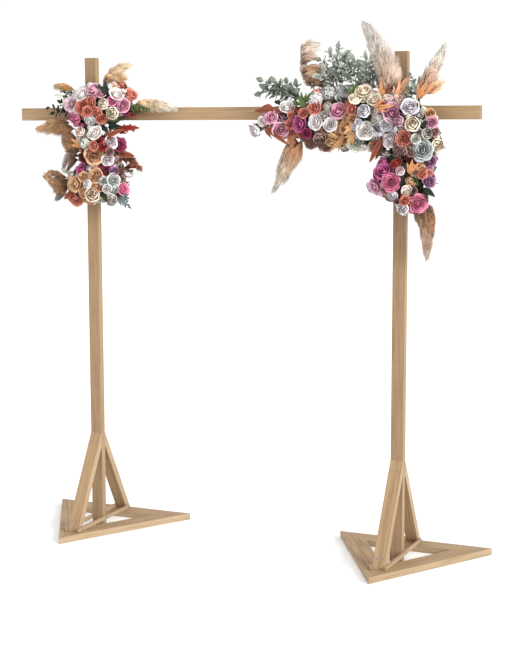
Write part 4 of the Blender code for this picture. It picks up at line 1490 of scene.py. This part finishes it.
def bend_through(points, count):
    """Points along a smooth curve through two or three places."""
    if len(points) == 2:
        points = [points[0], (points[0] + points[1]) / 2, points[1]]
    start, middle, end = points
    control = middle * 2 - (start + end) / 2
    steps = [i / (count - 1) for i in range(count)]
    return [start * (1 - t) ** 2 + control * 2 * t * (1 - t) + end * t * t for t in steps]


def spray_of_leaves(name, look, materials, seed, *nodes):
    """Twigs whose leaves stand in turns around them."""
    rng = random.Random(seed)
    kind, scale, y, twigs = look
    batch = Batch()
    leaf = LEAVES[kind]
    for number, twig in enumerate(twigs):
        offset = 0 if number == 0 else rng.uniform(-0.02, 0.02)
        pixels = enumerate(zip(twig[::2], twig[1::2]))
        spine = bend_through([at_depth(*pixel, y + offset * i) for i, pixel in pixels], TWIG_POINTS)
        batch.add(*tube(spine, np.linspace(*TWIG_RADII, len(spine)), 6), TWIG_COLOUR)
        run = sum((b - a).length for a, b in zip(spine, spine[1:]))
        count = max(5, int(run / (leaf.length * scale * TWIG_SPACING)))
        for k in range(count):
            t = 0.2 + 0.8 * (k + 0.5) / count
            place_on = t * (len(spine) - 1)
            i = min(int(place_on), len(spine) - 2)
            at = spine[i].lerp(spine[i + 1], place_on - i)
            along = (spine[i + 1] - spine[i]).normalized()
            side = along.cross(Vector((0, 1, 0))).normalized()
            side.rotate(Matrix.Rotation(SPREAD_TURN * k + rng.uniform(-0.5, 0.5), 3, along))
            direction = along * rng.uniform(0.5, 0.9) + side * rng.uniform(0.6, 1.0)
            facing = along * 0.5 - side * 0.2 + Vector((0, -0.7, 0.4))
            grown = scale * (1 - 0.35 * t) * rng.uniform(0.8, 1.15)
            add_leaf(batch, kind, at, direction, facing, rng, grown, grid_size=SPRAY_LEAF)
        tip_run = (spine[-1] - spine[-2]).normalized()
        add_leaf(batch, kind, spine[-1], tip_run, (0, -1, 0.2), rng, scale * 0.7, grid_size=SPRAY_LEAF)
    place(batch.build(name, materials[leaf.slot]), leaf.slot, *nodes)


def spine_points(base, bend, tip, t):
    """Points of a plume's spine and its direction there; past the tip it runs straight on."""
    t = np.asarray(t)[:, None]
    base, bend, tip = (np.array(p) for p in (base, bend, tip))
    inside = np.minimum(t, 1)
    at = base * (1 - inside) ** 2 + bend * 2 * inside * (1 - inside) + tip * inside**2
    slope = 2 * (1 - inside) * (bend - base) + 2 * inside * (tip - bend)
    return at + np.maximum(t - 1, 0) * slope, unit_rows(slope)


def unit_rows(vectors):
    return vectors / np.linalg.norm(vectors, axis=1, keepdims=True)


def plume_swell(t, fullness):
    """How far the tufts reach from the spine, from its base to its tip."""
    t = np.clip(t, 0, 1)
    return STEM_RADIUS * 0.6 + (fullness * 1.15 - STEM_RADIUS) * np.sin(np.pi * t**0.6) ** 0.75


def add_strands(batch, spine, fullness, strands, colours, hang, rng):
    """Fine spindle-shaped tufts that leave a plume's spine and lie forward along it."""
    base, _, tip = (np.array(p) for p in spine)
    span = rng.uniform(0.6, 1.4, strands) * STRAND_LENGTH / float(np.linalg.norm(tip - base))
    tufts = max(12, strands // STRANDS_IN_A_TUFT)
    tuft = rng.integers(0, tufts, strands)
    loose = rng.uniform(0, 1, strands) < LOOSE_SHARE
    tuft_t = rng.uniform(0, 1, tufts)[tuft] + rng.normal(0, 0.025, strands)
    t = np.where(loose, rng.uniform(0, 1, strands), np.clip(tuft_t, 0, 1)) * (1 - span)
    angle = np.where(loose, rng.uniform(0, 2 * np.pi, strands), rng.uniform(0, 2 * np.pi, tufts)[tuft])
    jitter = rng.normal(0, 0.32, strands)
    tuft_spread = rng.uniform(0.7, 1.2, tufts)[tuft] * rng.uniform(0.6, 1.0, strands)
    spread = np.where(loose, rng.uniform(0.15, 0.9, strands), tuft_spread)
    drop = rng.uniform(0, 0.016, tufts)[tuft]
    fall = np.array(hang) - drop[:, None] * np.array((0.0, 0.0, 1.0))
    points = []
    for share, out_share in ((0.0, 0.12), (0.42, 0.7), (1.0, 1.0)):
        at, slope = spine_points(*spine, t + span * share)
        across = unit_rows(np.cross(slope, [0.0, 1.0, 0.0]))
        heading = (angle + jitter * (1 - 0.6 * share))[:, None]
        out = across * np.cos(heading) + np.cross(slope, across) * np.sin(heading)
        reach = plume_swell(t + span * share * 0.9, fullness) * spread * out_share
        points.append(at + out * reach[:, None] + fall * share**2)
    foot, middle, end = points
    along = unit_rows(end - foot)
    side = unit_rows(np.cross(along, [0.3, 1.0, 0.2]))
    other = np.cross(along, side)
    width = STRAND_WIDTH * rng.uniform(0.6, 1.3, strands)[:, None]
    rings = []
    for k in range(3):
        a = part_turn(k, 3)
        rings.append(middle + (side * np.cos(a) + other * np.sin(a) * 0.6) * width)
    all_points = np.stack([foot, *rings, end], axis=1)
    faces = np.array([(0, 2, 1), (0, 3, 2), (0, 1, 3), (1, 2, 4), (2, 3, 4), (3, 1, 4)])
    faces = faces[None] + 5 * np.arange(strands)[:, None, None]
    first, last = (PLUME_COLOURS[colour] for colour in colours)
    tone = (rng.uniform(0.74, 1.2, tufts)[tuft] * rng.uniform(0.92, 1.08, strands))[:, None, None]
    blend = np.clip(t * 1.5 + rng.normal(0, 0.12, strands), 0, 1)[:, None, None]
    # Painted shade at each strand's foot and a painted highlight at its tip
    tints = (first + (last - first) * blend) * tone * np.array(STRAND_PAINTED_LIGHT)[None, :, None]
    tints = np.broadcast_to(tints, all_points.shape).reshape(-1, 3)
    batch.add(all_points.reshape(-1, 3), faces.reshape(-1, 3), np.clip(tints, 0, 0.95))


def make_plume(name, look, material, seed):
    """A plume of grass: its main head, and the side heads that the photograph shows."""
    rng = np.random.default_rng(seed)
    batch = Batch()

    def add_head(root, spine, reach, radii, sides, fullness, strands, colours):
        at, _ = spine_points(*spine, np.linspace(0, reach, len(radii) - len(root)))
        stem, faces = tube([Vector(p) for p in (*root, *at)], radii, sides)
        batch.add(stem, faces, PLUME_COLOURS[colours[0]] * 0.6)
        add_strands(batch, spine, fullness, strands, colours, look.hang, rng)

    radii = [STEM_RADIUS * 0.8, *np.linspace(STEM_RADIUS * 0.8, 0.0008, 16)]
    spine = (look.base, look.bend, look.tip)
    add_head([look.root], spine, 0.96, radii, 8, look.fullness, int(look.strands), look.colours)
    for *pixels, fullness, first, last in SIDE_HEADS.get(name, ()):
        spine = [at_depth(*pixel, look.base[1]) for pixel in zip(pixels[::2], pixels[1::2])]
        radii = np.linspace(0.0014, 0.0006, 8)
        add_head([], spine, 0.95, radii, 6, fullness, int(SIDE_HEAD_STRANDS * fullness), (first, last))
    place(batch.build(name + "_strands", material), "dried_plume", name)


def make_flowers():
    petals = dict(weave=700, sheen=0.15, rough=0.6, depth=0.0002, veined=False)
    leaves = dict(weave=500, sheen=0.06, rough=0.55, depth=0.0003, veined=True)
    grass = dict(weave=300, sheen=0.2, rough=0.8, depth=0.0003, veined=False)
    materials = {name: silk(name, **petals) for name in sorted({tint.slot for tint in TINTS.values()})}
    materials.update({name: silk(name, **leaves) for name in ("sage_leaf", "rust_leaf")})
    materials["dried_plume"] = silk("dried_plume", **grass)
    materials["moss"] = moss()
    rng = random.Random(FORM_SEED)
    forms = {}
    for name in FORMS:
        for start, grid_size in PETAL_GRIDS.items():
            forms[start + name] = [bloom_form(name, grid_size, rng) for _ in range(FORM_VARIANTS)]
    forms["rose"] += forms["open"][:1]
    forms["tuft"] = [tuft_form(rng) for _ in range(FORM_VARIANTS)]
    for number, name in enumerate(BLOOMS):
        Swag(name, forms, SWAG_SEED + number).dress(materials)
    for number, (name, look) in enumerate(PLUMES.items()):
        make_plume(name, look, materials["dried_plume"], PLUME_SEED + number)
    for number, (name, look) in enumerate(SPRAYS.items()):
        spray_of_leaves(name + "_leaves", look, materials, SPRAY_SEED + number, name)
    for number, (name, look) in enumerate(MORE_TWIGS.items()):
        spray_of_leaves(name, look, materials, TWIG_SEED + number)


make_camera()
make_floor()
make_light()
finish_timber()
make_flowers()
zinc_steel = zinc()
make_fasteners(zinc_steel)
for tie, (timber, at) in TIES.items():
    make_tie(tie, timber, at, zinc_steel)
